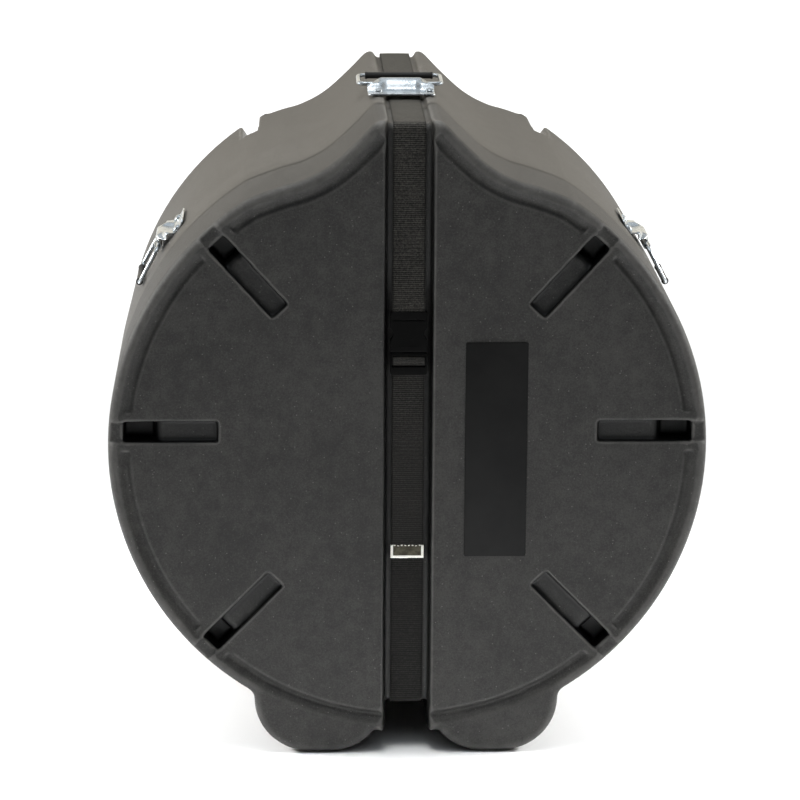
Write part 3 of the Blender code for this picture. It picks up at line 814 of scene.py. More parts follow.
class Block:
    """A closed body that others are joined to or cut from, until it becomes a piece."""

    def __init__(self, name: str, form: Form) -> None:
        """Put the form's mesh in the scene."""
        self.object = bpy.data.objects.new(name, form.mesh(name))
        bpy.context.scene.collection.objects.link(self.object)

    def join(self, *others: "Block") -> "Block":
        """Add other bodies, which are used up."""
        return self._combine("UNION", others)

    def cut(self, *others: "Block") -> "Block":
        """Take other bodies away, which are used up."""
        return self._combine("DIFFERENCE", others)

    def _combine(self, operation: str, others: Sequence["Block"]) -> "Block":
        """Run one exact operation for each other body.

        Args:
            operation: Union or difference.
            others: The other bodies, which are used up.

        Returns:
            This body.
        """
        for other in others:
            modifier = self.object.modifiers.new(operation.lower(), "BOOLEAN")
            modifier.operation = operation
            modifier.solver = "MANIFOLD"
            modifier.object = other.object
            self.bake()
            bpy.data.objects.remove(other.object)
        return self

    def bake(self) -> "Block":
        """Make the modifiers' result the mesh.

        Returns:
            This body.
        """
        depsgraph = bpy.context.evaluated_depsgraph_get()
        baked = bpy.data.meshes.new_from_object(self.object.evaluated_get(depsgraph))
        self.object.modifiers.clear()
        self.object.data = baked
        return self

    def soften(self, grain: float, rounds: int, triangles: int) -> "Block":
        """Round every edge a little, as a moulding is rounded, and thin the mesh out again.

        Args:
            grain: Size of the cells that the body is rebuilt from.
            rounds: How often the surface is relaxed.
            triangles: About how many triangles are left.

        Returns:
            This body.
        """
        cells = self.object.modifiers.new("cells", "REMESH")
        cells.mode = "VOXEL"
        cells.voxel_size = grain
        relax = self.object.modifiers.new("relax", "SMOOTH")
        relax.factor = 0.5
        relax.iterations = rounds
        self.bake()
        count = sum(len(face.vertices) - 2 for face in self.object.data.polygons)
        thin = self.object.modifiers.new("thin_out", "DECIMATE")
        thin.ratio = min(triangles / count, 1.0)
        self.bake()
        LOG.info("%s: %d triangles of %d", self.object.name, len(self.object.data.polygons), count)
        return self


@dataclass(frozen=True)
class SurfaceMarks:
    """Two marks on a moulding: how open each point lies, for painted shade in its hollows, and how sharply
    it turns outwards, for wear and painted highlight on its edges.

    One ray goes straight up from each point, and a few more lean away from it by an angle in degrees.
    """

    reach: float = 90 * MM
    lean: float = 55
    turns: int = 4
    lift: float = 0.8 * MM
    open_rounds: int = 3
    worn_and_highlit_rounds: int = 1

    def put_on(self, mesh: bpy.types.Mesh) -> None:
        """Store both marks on a mesh.

        Args:
            mesh: The mesh.
        """
        count = len(mesh.vertices)
        ends = np.empty(2 * len(mesh.edges), dtype=np.int32)
        mesh.edges.foreach_get("vertices", ends)
        first, second = ends[0::2], ends[1::2]
        exposed = np.array(self._exposure(mesh))
        worn = self._convexity(mesh, first, second)
        for name, values, rounds in (("exposed", exposed, self.open_rounds),
                                     ("worn", worn, self.worn_and_highlit_rounds)):
            for _ in range(rounds):
                values = self._average(values, first, second, count)
            layer = mesh.attributes.new(name, "FLOAT", "POINT")
            layer.data.foreach_set("value", values.astype(np.float32))

    def _exposure(self, mesh: bpy.types.Mesh) -> list[float]:
        """How open each point lies.

        Args:
            mesh: The mesh.

        Returns:
            For each point, the share of its rays that meet nothing within reach.
        """
        tree = BVHTree.FromPolygons([vert.co for vert in mesh.vertices],
                                    [face.vertices[:] for face in mesh.polygons])
        upright, flat = math.cos(math.radians(self.lean)), math.sin(math.radians(self.lean))
        round_about = [(math.cos(a) * flat, math.sin(a) * flat)
                       for a in (2 * math.pi * (i + 0.5) / self.turns for i in range(self.turns))]
        shares = []
        for vert in mesh.vertices:
            normal = vert.normal
            across = Vector((-normal.z, 0, normal.x)) if abs(normal.y) > 0.5 else Vector((0, 1, 0))
            across = (across - across.dot(normal) * normal).normalized()
            over = normal.cross(across)
            start = vert.co + self.lift * normal
            rays = [normal] + [upright * normal + u * across + v * over for u, v in round_about]
            free = sum(tree.ray_cast(start, ray, self.reach)[0] is None for ray in rays)
            shares.append(free / (self.turns + 1))
        return shares

    @staticmethod
    def _convexity(mesh: bpy.types.Mesh, first: np.ndarray, second: np.ndarray) -> np.ndarray:
        """How sharply the surface turns outwards at each point.

        Args:
            mesh: The mesh.
            first: The first point of each edge.
            second: The second point of each edge.

        Returns:
            For each point, how far its neighbours lie below it, per length.
        """
        places = np.empty(3 * len(mesh.vertices))
        normals = np.empty(3 * len(mesh.vertices))
        mesh.vertices.foreach_get("co", places)
        mesh.vertices.foreach_get("normal", normals)
        places, normals = places.reshape(-1, 3), normals.reshape(-1, 3)
        steps = places[second] - places[first]
        steps /= np.maximum(np.linalg.norm(steps, axis=1), 1e-9)[:, None]
        fall = np.zeros(len(places))
        share = np.zeros(len(places))
        np.add.at(fall, first, -(steps * normals[first]).sum(axis=1))
        np.add.at(fall, second, (steps * normals[second]).sum(axis=1))
        np.add.at(share, first, 1)
        np.add.at(share, second, 1)
        return fall / np.maximum(share, 1)

    @staticmethod
    def _average(values: np.ndarray, first: np.ndarray, second: np.ndarray, count: int) -> np.ndarray:
        """Each point's value averaged with its neighbours'.

        Args:
            values: One value for each point.
            first: The first point of each edge.
            second: The second point of each edge.
            count: How many points there are.

        Returns:
            The averaged values.
        """
        total = values.copy()
        share = np.ones(count)
        np.add.at(total, first, values[second])
        np.add.at(total, second, values[first])
        np.add.at(share, first, 1)
        np.add.at(share, second, 1)
        return total / share


class SubAssembly:
    """A group of pieces that are made and dressed together."""

    def dress(self, piece: Union[Block, bpy.types.Mesh], name: str, finish: Finish, body: CaseBody,
              nodes: Sequence[str], crease: Optional[float] = None) -> bpy.types.Object:
        """Turn a body or mesh into a finished piece.

        Args:
            piece: The body or the mesh.
            name: Name of the piece.
            finish: Its finish.
            body: The body that it rides on.
            nodes: The solids that it stands for.
            crease: Angle in degrees above which an edge stays sharp.

        Returns:
            The piece's object.
        """
        if isinstance(piece, Block):
            obj = piece.object
            obj.name = name
        else:
            obj = bpy.data.objects.new(name, piece)
            bpy.context.scene.collection.objects.link(obj)
        obj.data.materials.clear()
        obj.data.materials.append(FINISHES.of(finish))
        obj.data.shade_smooth()
        if crease is not None:
            obj.data.set_sharp_from_angle(angle=math.radians(crease))
        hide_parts(*nodes)
        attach(obj, body.value)
        LOG.info("%s rides on %s", name, body.value)
        return obj


@dataclass(frozen=True)
class CaseSizes:
    """The sizes that several sub-assemblies share. Heights are from the middle of the disc, at centre."""

    front: float = -290 * MM
    depth: float = 580 * MM
    centre: float = 375 * MM
    radius: float = 351 * MM
    ridge_top: float = 388 * MM
    top_floor: float = 381.8 * MM
    bottom_floor: float = -316 * MM
    channel_half: float = 25 * MM
    channel_depth: float = 18 * MM
    channel_corner: float = 8 * MM
    wall: float = 4.2 * MM


@dataclass(frozen=True)
class CaseOutline(CaseSizes):
    """The outline of the case seen from the front. A ridge is its top's place across, upwards and radius."""

    ridge: Place = (31 * MM, 373.5 * MM, 14.5 * MM)
    ridge_start: float = 115
    ridge_end: float = 43
    flank: tuple[Point, ...] = ((62 * MM, 362.5 * MM), (92 * MM, 335.5 * MM), (122 * MM, 319 * MM),
                                (150 * MM, 310.5 * MM))
    filled_half: float = 41.6 * MM
    flare_end: float = 57
    wall_end: float = -87
    foot_side: float = 181 * MM
    foot_corner: float = 66 * MM
    foot_fillet: float = 15 * MM
    foot_rise: float = 26 * MM
    step: float = 2.2

    def flare(self, inset: float) -> list[Point]:
        """The S-shaped flank between a ridge and the round wall.

        Args:
            inset: How far it is moved inwards.

        Returns:
            Its points, from the ridge outwards.
        """
        x, z, r = self.ridge
        first = arc(x, z, r, self.ridge_end + 40, self.ridge_end, 1)
        wall = arc(0, 0, self.radius, self.flare_end, self.flare_end - 6, 1)
        line = smooth_through([*first, *self.flank, *wall], 7)
        moved = []
        for before, point, after in zip(line, line[1:], line[2:]):
            along = (Vector(after) - Vector(before)).normalized()
            moved.append((point[0] + along.y * inset, point[1] - along.x * inset))
        return moved

    def round_wall(self, inset: float) -> list[Point]:
        """The round wall of the right half, from the flare down to the strap channel."""
        count = round((self.flare_end - self.wall_end) / self.step)
        return arc(0, 0, self.radius - inset, self.flare_end, self.wall_end, count)

    def disc(self, inset: float) -> list[Point]:
        """The outline with its two ridges, without the feet.

        Args:
            inset: How far it is moved inwards.

        Returns:
            Its points.
        """
        x, z, r = self.ridge
        half = [(self.channel_half - 1 * MM, self.top_floor - inset)]
        half += arc(x, z, r - inset, self.ridge_start, self.ridge_end, 10)
        return self._whole(half + self.flare(inset) + self.round_wall(inset))

    def filled(self, inset: float) -> list[Point]:
        """The outline without the ridges, as the inside of the case follows it.

        Args:
            inset: How far it is moved inwards.

        Returns:
            Its points.
        """
        top = self.top_floor - inset
        half = [(self.filled_half - 0.75 * inset, top)]
        half += [(x, min(z, top)) for x, z in self.flare(inset)]
        return self._whole(half + self.round_wall(inset))

    def panel(self, inset: float) -> list[Point]:
        """The outline of the sunk panel, which runs up to a point beside the strap channel."""
        return self._whole(self.flare(inset) + self.round_wall(inset))

    def foot(self, inset: float) -> list[Point]:
        """The right foot.

        Args:
            inset: How far it is moved inwards.

        Returns:
            Its points, from its fillet on the round wall to the strap channel.
        """
        centre_z = self.foot_corner - self.centre
        reach = self.radius + self.foot_fillet
        fillet_x = self.foot_side + self.foot_fillet
        fillet_z = -math.sqrt(reach ** 2 - fillet_x ** 2)
        meet = math.degrees(math.atan2(-fillet_z, -fillet_x))
        corner = self.foot_corner - inset
        channel = math.degrees(math.asin((centre_z - self.bottom_floor - inset) / corner))
        points = [(fillet_x - 40 * MM, fillet_z + 75 * MM)]
        points += arc(fillet_x, fillet_z, self.foot_fillet + inset, meet, 180, 8)
        points += arc(self.foot_side - self.foot_corner, centre_z, corner, -6, -90, 18)
        points += arc(self.channel_half + self.foot_corner, centre_z, corner, -90, channel - 180, 18)
        points.append((self.channel_half + inset, self.bottom_floor + self.foot_rise))
        return points

    @staticmethod
    def _whole(half: list[Point]) -> list[Point]:
        """A right half with its mirror image."""
        return half + [(-x, z) for x, z in reversed(half)]


class Face(Enum):
    """The two faces of the case."""

    FRONT = "front"
    BACK = "back"


@dataclass(frozen=True)
class RadialSlot:
    """One stepped slot that points at the middle of the disc, or as far above it as its rise."""

    angle: float
    rise: float
    pocket: float
    notch: bool = False


@dataclass(frozen=True)
class FaceRelief:
    """What is pressed into the lid's face and the back: panel, strap channel, slots and their lands.

    The crease, land and dip are in millimetres: depths and insets from the rim, or radii and depths.
    """

    outline: CaseOutline = CaseOutline()
    recess: float = 3 * MM
    slot_start: float = 222.7 * MM
    slot_end: float = 333 * MM
    open_end: float = 365 * MM
    slot_half: float = 13 * MM
    slot_draft: float = 1.6 * MM
    slot_depth: float = 9 * MM
    side_rise: float = 21 * MM
    side_pocket: float = 296 * MM
    pocket: float = 306 * MM
    pocket_depth: float = 32 * MM
    notch_depth: float = 112 * MM
    low_angle: float = -45.6
    front_angle: float = 47.8
    back_angle: float = 57.2
    land_margin: float = 11 * MM
    mouth_flare: Point = (4 * MM, 3 * MM)
    mouth_fade: float = 1.7 * MM
    mouth_levels: tuple[float, ...] = (0.0, 1.0, 2.2, 4.0, 7.0)
    crease: tuple[Point, ...] = ((-12, 8.4), (0.0, 8.4), (0.5, 10.6), (1.7, 13.2), (3.4, 15.6), (5.2, 17.8),
                                 (6.4, 19.6), (6.8, 21.0), (6.2, 22.6), (4.8, 24.2), (3.5, 26.0),
                                 (3.0, 28.5))
    land_side: tuple[Point, ...] = ((306, 3.4), (322, 3.0), (331, 2.2), (338, 1.2), (343, 0.6), (345, 9),
                                    (306, 9))
    dip_side: tuple[Point, ...] = ((324, -10), (324, 4.4), (341, 3.6), (349, 4.6), (366, 9), (366, -10))

    def slots(self, face: Face) -> list[RadialSlot]:
        """The six slots of a face. The upper two of the back run on as notches in the wall.

        Args:
            face: The face.

        Returns:
            The slots, the two at the sides first.
        """
        notch = face is Face.BACK
        upper = self.back_angle if notch else self.front_angle
        found = [RadialSlot(angle, self.side_rise, self.side_pocket) for angle in (0, 180)]
        found += [RadialSlot(angle, 0, self.pocket) for angle in (self.low_angle, 180 - self.low_angle)]
        return found + [RadialSlot(angle, 0, self.pocket, notch) for angle in (upper, 180 - upper)]

    def _on_face(self, form: Form, face: Face) -> Form:
        """Move a form from depths below a face to that face.

        Args:
            form: The form.
            face: The face.

        Returns:
            The form.
        """
        inwards = 1 if face is Face.FRONT else -1
        offset = Matrix.Translation((0, inwards * self.outline.front, self.outline.centre))
        return form.placed(offset @ Matrix.Diagonal((1, inwards, 1, 1)))

    def panel(self, face: Face) -> Block:
        """The cutter for the sunk panel, with the crease inside the rounded rim.

        Args:
            face: The face that it is for.

        Returns:
            The cutter.
        """
        rings = [[Vector((x, depth * MM, z)) for x, z in self.outline.panel(inset * MM)]
                 for depth, inset in self.crease]
        return Block("panel", self._on_face(Form().loft(rings), face))

    def channel(self, face: Face, grow: float = 0.0) -> Block:
        """The cutter for the strap channel, round where it turns onto the walls and flared at its mouth.

        Args:
            face: The face that it is for.
            grow: How much larger it is on every side.

        Returns:
            The cutter.
        """
        floor, corner = self.outline.channel_depth + grow, self.outline.channel_corner
        turn = floor + corner
        top, bottom = self.outline.top_floor - grow, self.outline.bottom_floor + grow
        side = [(-20 * MM, top + 30 * MM), (turn, top + 30 * MM)]
        side += arc(turn, top - corner, corner, 90, 180, 8)
        side += arc(turn, bottom + corner, corner, 180, 270, 8)
        side += [(turn, bottom - 40 * MM), (-20 * MM, bottom - 40 * MM)]
        half = self.outline.channel_half
        rings = [[Vector((x, depth, z)) for depth, z in side] for x in (-half, half)]
        form = Form().loft(rings)
        for level in self.mouth_levels:
            bmesh.ops.bisect_plane(form.bm, geom=form.bm.verts[:] + form.bm.edges[:] + form.bm.faces[:],
                                   plane_co=(0, level * MM, 0), plane_no=(0, 1, 0))
        wide, lip = self.mouth_flare
        for vert in form.bm.verts:
            below = max(vert.co.y, 0.0)
            flare = wide * max(1 - below / floor, 0.0) + lip * math.exp(-below / self.mouth_fade)
            vert.co.x = math.copysign(half + flare + grow, vert.co.x)
        return Block("channel", self._on_face(form, face))

    def _radial(self, form: Form, slot: RadialSlot) -> Form:
        """Turn a form from running along X to the slot's own direction."""
        turn = Matrix.Rotation(math.radians(-slot.angle), 4, "Y")
        return form.placed(Matrix.Translation((0, 0, slot.rise)) @ turn)

    @staticmethod
    def _wedge(side: Sequence[Point], half: float, draft: float) -> Form:
        """A side profile made as wide as a slot.

        Args:
            side: Its radius and depth points.
            half: Half its width at the face.
            draft: How much narrower its floor is on each side.

        Returns:
            The form, along X.
        """
        form = Form().loft([[Vector((r, d, z)) for r, d in side] for z in (-half, half)])
        deepest = max(d for _, d in side)
        for vert in form.bm.verts:
            vert.co.z *= 1 - draft / half * max(vert.co.y, 0) / deepest
        return form

    def slot(self, slot: RadialSlot, face: Face, grow: float = 0.0) -> Block:
        """The cutter for one slot: a shallow flat, a rounded step and a deep pocket.

        Args:
            slot: The slot.
            face: The face that it is for.
            grow: How much larger it is on every side.

        Returns:
            The cutter.
        """
        end = (self.open_end if slot.notch else self.slot_end) + grow
        ledge = self.recess + self.slot_depth + grow
        deep = self.recess + (self.notch_depth if slot.notch else self.pocket_depth) + grow
        near = slot.pocket - grow
        start = self.slot_start - grow
        side = [(start - self.slot_draft, -10 * MM), (start, ledge), (near - 9 * MM, ledge),
                (near - 5 * MM, ledge + 1.2 * MM), (near - 2 * MM, ledge + 4 * MM), (near, ledge + 8 * MM),
                (near + 1 * MM, deep), (end - 1 * MM, deep), (end, -10 * MM)]
        form = self._wedge(side, self.slot_half + grow, self.slot_draft)
        return Block("slot", self._on_face(self._radial(form, slot), face))

    def land(self, slot: RadialSlot, face: Face) -> Block:
        """The land beside the outer end of a slot, which fills the crease inside the rim.

        Args:
            slot: The slot.
            face: The face that it is for.

        Returns:
            The land.
        """
        side = [(radius * MM, depth * MM) for radius, depth in self.land_side]
        form = self._wedge(side, self.slot_half + self.land_margin, 0.0)
        return Block("land", self._on_face(self._radial(form, slot), face))

    def dip(self, slot: RadialSlot, face: Face) -> Block:
        """The cutter for the shallow dip across the rim at the outer end of a slot.

        Args:
            slot: The slot.
            face: The face that it is for.

        Returns:
            The cutter.
        """
        side = [(radius * MM, depth * MM) for radius, depth in self.dip_side]
        form = self._wedge(side, self.slot_half - 0.3 * MM, 1.0 * MM)
        return Block("dip", self._on_face(self._radial(form, slot), face))

    def press_into(self, shell: Block, face: Face) -> None:
        """Press all of it into the outside of a shell.

        Args:
            shell: The shell.
            face: Its face.
        """
        shell.cut(self.panel(face))
        slots = self.slots(face)
        for slot in slots:
            shell.join(self.land(slot, face))
        shell.cut(self.channel(face))
        for slot in slots:
            shell.cut(self.slot(slot, face))
            shell.cut(self.dip(slot, face))

    def keep_walls(self, hollow: Block, face: Face) -> None:
        """Leave a wall behind the channel and the slots in what is hollowed out.

        Args:
            hollow: The body that will be hollowed out of the shell.
            face: The shell's face.
        """
        wall = self.outline.wall
        hollow.cut(self.channel(face, wall))
        for slot in self.slots(face):
            hollow.cut(self.slot(slot, face, wall))


@dataclass
class MouldedShells(SubAssembly):
    """The lid and the base of the case."""

    outline: CaseOutline = CaseOutline()
    relief: FaceRelief = FaceRelief()
    lid_depth: float = 125 * MM
    seam: float = 0.5 * MM
    spigot: float = 30 * MM
    clearance: float = 0.8 * MM
    rim: float = 10 * MM
    back_draft: float = 3.5 * MM
    draft_start: float = 300 * MM
    set_back: float = 1.2 * MM
    set_back_end: float = 45 * MM
    lid_grain: float = 1.9 * MM
    base_grain: float = 2.3 * MM
    relaxing: int = 4
    triangles: int = 190000

    def _rings(self, shape: Callable[[float], list[Point]], profile: Sequence[Point],
               side: int = 1) -> list[list[Vector]]:
        """Rings of one outline.

        Args:
            shape: Gives the outline for an inset.
            profile: Depth and inset of each ring.
            side: 1 for the right, or -1 for its mirror image.

        Returns:
            The rings.
        """
        front, centre = self.outline.front, self.outline.centre
        return [[Vector((side * x, front + depth, centre + z)) for x, z in shape(inset)]
                for depth, inset in profile]

    def _body(self, name: str, shape: Callable[[float], list[Point]], profile: Sequence[Point]) -> Block:
        """A body along the case from one outline."""
        return Block(name, Form().loft(self._rings(shape, profile)))

    def _feet(self, profile: Sequence[Point]) -> list[Block]:
        """The two feet."""
        return [Block("foot", Form().loft(self._rings(self.outline.foot, profile, side)))
                for side in (1, -1)]

    def _strap_way(self, margin: float, low: float = -1, high: float = 1) -> Block:
        """The cutter for the strap's way between the feet.

        Args:
            margin: How much larger it is on every side.
            low: Where it starts, from the face.
            high: Where it ends.

        Returns:
            The cutter.
        """
        outline = self.outline
        half = outline.channel_half + margin
        top = outline.centre + outline.bottom_floor + margin
        return Block("strap_way", Form().box((-half, outline.front + low, -30 * MM),
                                             (half, outline.front + high, top)))

    def _rim_profile(self) -> list[Point]:
        """The rounding of the rim as depth and inset points, from the face to the wall."""
        turns = [math.radians(15 * i) for i in range(7)]
        return [(self.rim * (1 - math.sin(a)), self.rim * (1 - math.cos(a))) for a in reversed(turns)]

    def _finish(self, shell: Block, grain: float, finish: Finish, body: CaseBody, node: str) -> None:
        """Round a shell as a moulding is, mark each point's openness for painted shade and its sharpness for
        wear and painted highlight, and dress it.

        Args:
            shell: The shell.
            grain: Size of the cells that it is rebuilt from.
            finish: Its finish.
            body: The body that it rides on.
            node: The solid that it stands for.
        """
        shell.soften(grain, self.relaxing, self.triangles)
        SurfaceMarks().put_on(shell.object.data)
        self.dress(shell, shell.object.name, finish, body, [node])

    def make_lid(self) -> None:
        """The shallow front shell."""
        outer = self._rim_profile() + [(self.lid_depth, 0)]
        lid = self._body("lid_moulding", self.outline.disc, outer).join(*self._feet(outer))
        lid.cut(self._strap_way(0))
        self.relief.press_into(lid, Face.FRONT)
        wall = self.outline.wall
        inside = self.relief.recess + wall
        past = self.lid_depth + 5 * MM
        hollow = self._body("lid_hollow", self.outline.filled,
                            [(inside, 33 * MM), (inside + 3.6 * MM, 27 * MM), (inside + 4.0 * MM, 15 * MM),
                             (inside + 7 * MM, 8 * MM), (inside + 12 * MM, wall), (past, wall)])
        hollow.join(*self._feet([(inside, 12 * MM), (inside + 3 * MM, 7 * MM), (inside + 8 * MM, wall),
                                 (past, wall)]))
        self.relief.keep_walls(hollow, Face.FRONT)
        hollow.cut(self._strap_way(wall))
        self._finish(lid.cut(hollow), self.lid_grain, MouldedPlastic(), CaseBody.LID, "lid_shell")

    def make_base(self) -> None:
        """The deep back shell, with the spigot that enters the lid."""
        start = self.lid_depth + self.seam
        draft = self.back_draft
        rim = [(self.outline.depth - depth, inset + draft) for depth, inset in reversed(self._rim_profile())]
        disc_profile = [(start, self.set_back), (start + 5 * MM, self.set_back), (start + 24 * MM, 0.4 * MM),
                        (start + self.set_back_end, 0), (self.draft_start, 0)] + rim
        base = self._body("base_moulding", self.outline.disc, disc_profile)
        base.join(*self._feet([(start, 0)] + [(depth, inset - draft) for depth, inset in rim]))
        base.cut(self._strap_way(0))
        wall = self.outline.wall
        step = wall + self.clearance
        mouth = self.lid_depth - self.spigot
        ends = [(mouth, step), (start + 6 * MM, step)]
        spigot = self._body("spigot", self.outline.filled, ends).join(*self._feet(ends))
        spigot.cut(self._strap_way(step))
        base.join(spigot)
        self.relief.press_into(base, Face.BACK)
        inner = step + wall
        inside = self.outline.depth - self.relief.recess - wall
        neck = start + 8 * MM
        throat = [(mouth - 5 * MM, inner), (neck, inner), (neck + 8 * MM, wall)]
        hollow = self._body("base_hollow", self.outline.filled,
                            throat + [(self.draft_start, wall), (inside - 12 * MM, wall + draft),
                                      (inside - 7 * MM, 8 * MM + draft), (inside - 4 * MM, 15 * MM + draft),
                                      (inside - 3.6 * MM, 27 * MM + draft), (inside, 33 * MM + draft)])
        hollow.join(*self._feet(throat + [(inside - 8 * MM, wall), (inside - 3 * MM, 7 * MM),
                                          (inside, 12 * MM)]))
        self.relief.keep_walls(hollow, Face.BACK)
        hollow.cut(self._strap_way(inner, high=neck + 4 * MM), self._strap_way(wall))
        # The base's heavier film is dust and a painted sheen that lightens its walls; it also has the
        # painted shadow beside the joint.
        dust_and_sheen_finish = MouldedPlastic("dust_and_sheen_polyethylene", film=0.115, roughness=0.43, seam_shadow=0.85)
        self._finish(base.cut(hollow), self.base_grain, dust_and_sheen_finish, CaseBody.BASE, "base_shell")

    def build(self) -> None:
        """Make both shells."""
        self.make_lid()
        self.make_base()


@dataclass
class NamePlate(SubAssembly):
    """The smooth bare plate to the right of the strap channel."""

    node: str = "label_plate"
    corner: float = 2 * MM
    edge: float = 0.35 * MM

    def build(self) -> None:
        """Make the plate where its solid is."""
        low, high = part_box(self.node)
        form = Form().box(low, high).corners_rounded(self.corner, 5).rounded(self.edge)
        self.dress(form.mesh("bare_plate"), "bare_plate", SmoothPlastic(), CaseBody.LID, [self.node], 60)


@dataclass(frozen=True)
class Band:
    """A flat band that follows a path of depth and height points in the case's middle plane."""

    width: float
    thick: float
    crown: float = 0.0
    edge: float = 0.5 * MM
    columns: int = 12

    def run(self, name: str, path: Sequence[Point], spacing: float) -> bpy.types.Mesh:
        """Lay the band along the path.

        Args:
            name: Name of the mesh.
            path: World Y and Z points along the middle of the band.
            spacing: Length of one cell along the band.

        Returns:
            The band's mesh, with its map in metres across and along.
        """
        lengths = lengths_along(path)
        total = lengths[-1]
        rows = max(int(total / spacing), 4)
        reach = 0.5 * MM
        bm = bmesh.new()
        bmesh.ops.create_grid(bm, x_segments=self.columns, y_segments=rows, size=1.0)
        layer = bm.loops.layers.uv.new("band")
        for face in bm.faces:
            for loop in face.loops:
                co = loop.vert.co
                loop[layer].uv = (co.x * self.width / 2, (co.y + 1) / 2 * total)
        for vert in bm.verts:
            across, distance = vert.co.x, (vert.co.y + 1) / 2 * total
            at = point_along(path, lengths, distance)
            ahead = point_along(path, lengths, min(distance + reach, total))
            behind = point_along(path, lengths, max(distance - reach, 0.0))
            along = Vector((ahead[0] - behind[0], ahead[1] - behind[1])).normalized()
            lift = self.crown * (1 - across * across)
            vert.co = (across * self.width / 2, at[0] - along.y * lift, at[1] + along.x * lift)
        mesh = bpy.data.meshes.new(name)
        bm.to_mesh(mesh)
        bm.free()
        return mesh

    def thicken(self, obj: bpy.types.Object) -> None:
        """Give the band its thickness and round its edges."""
        thicken(obj, self.thick, self.edge, 60, True)


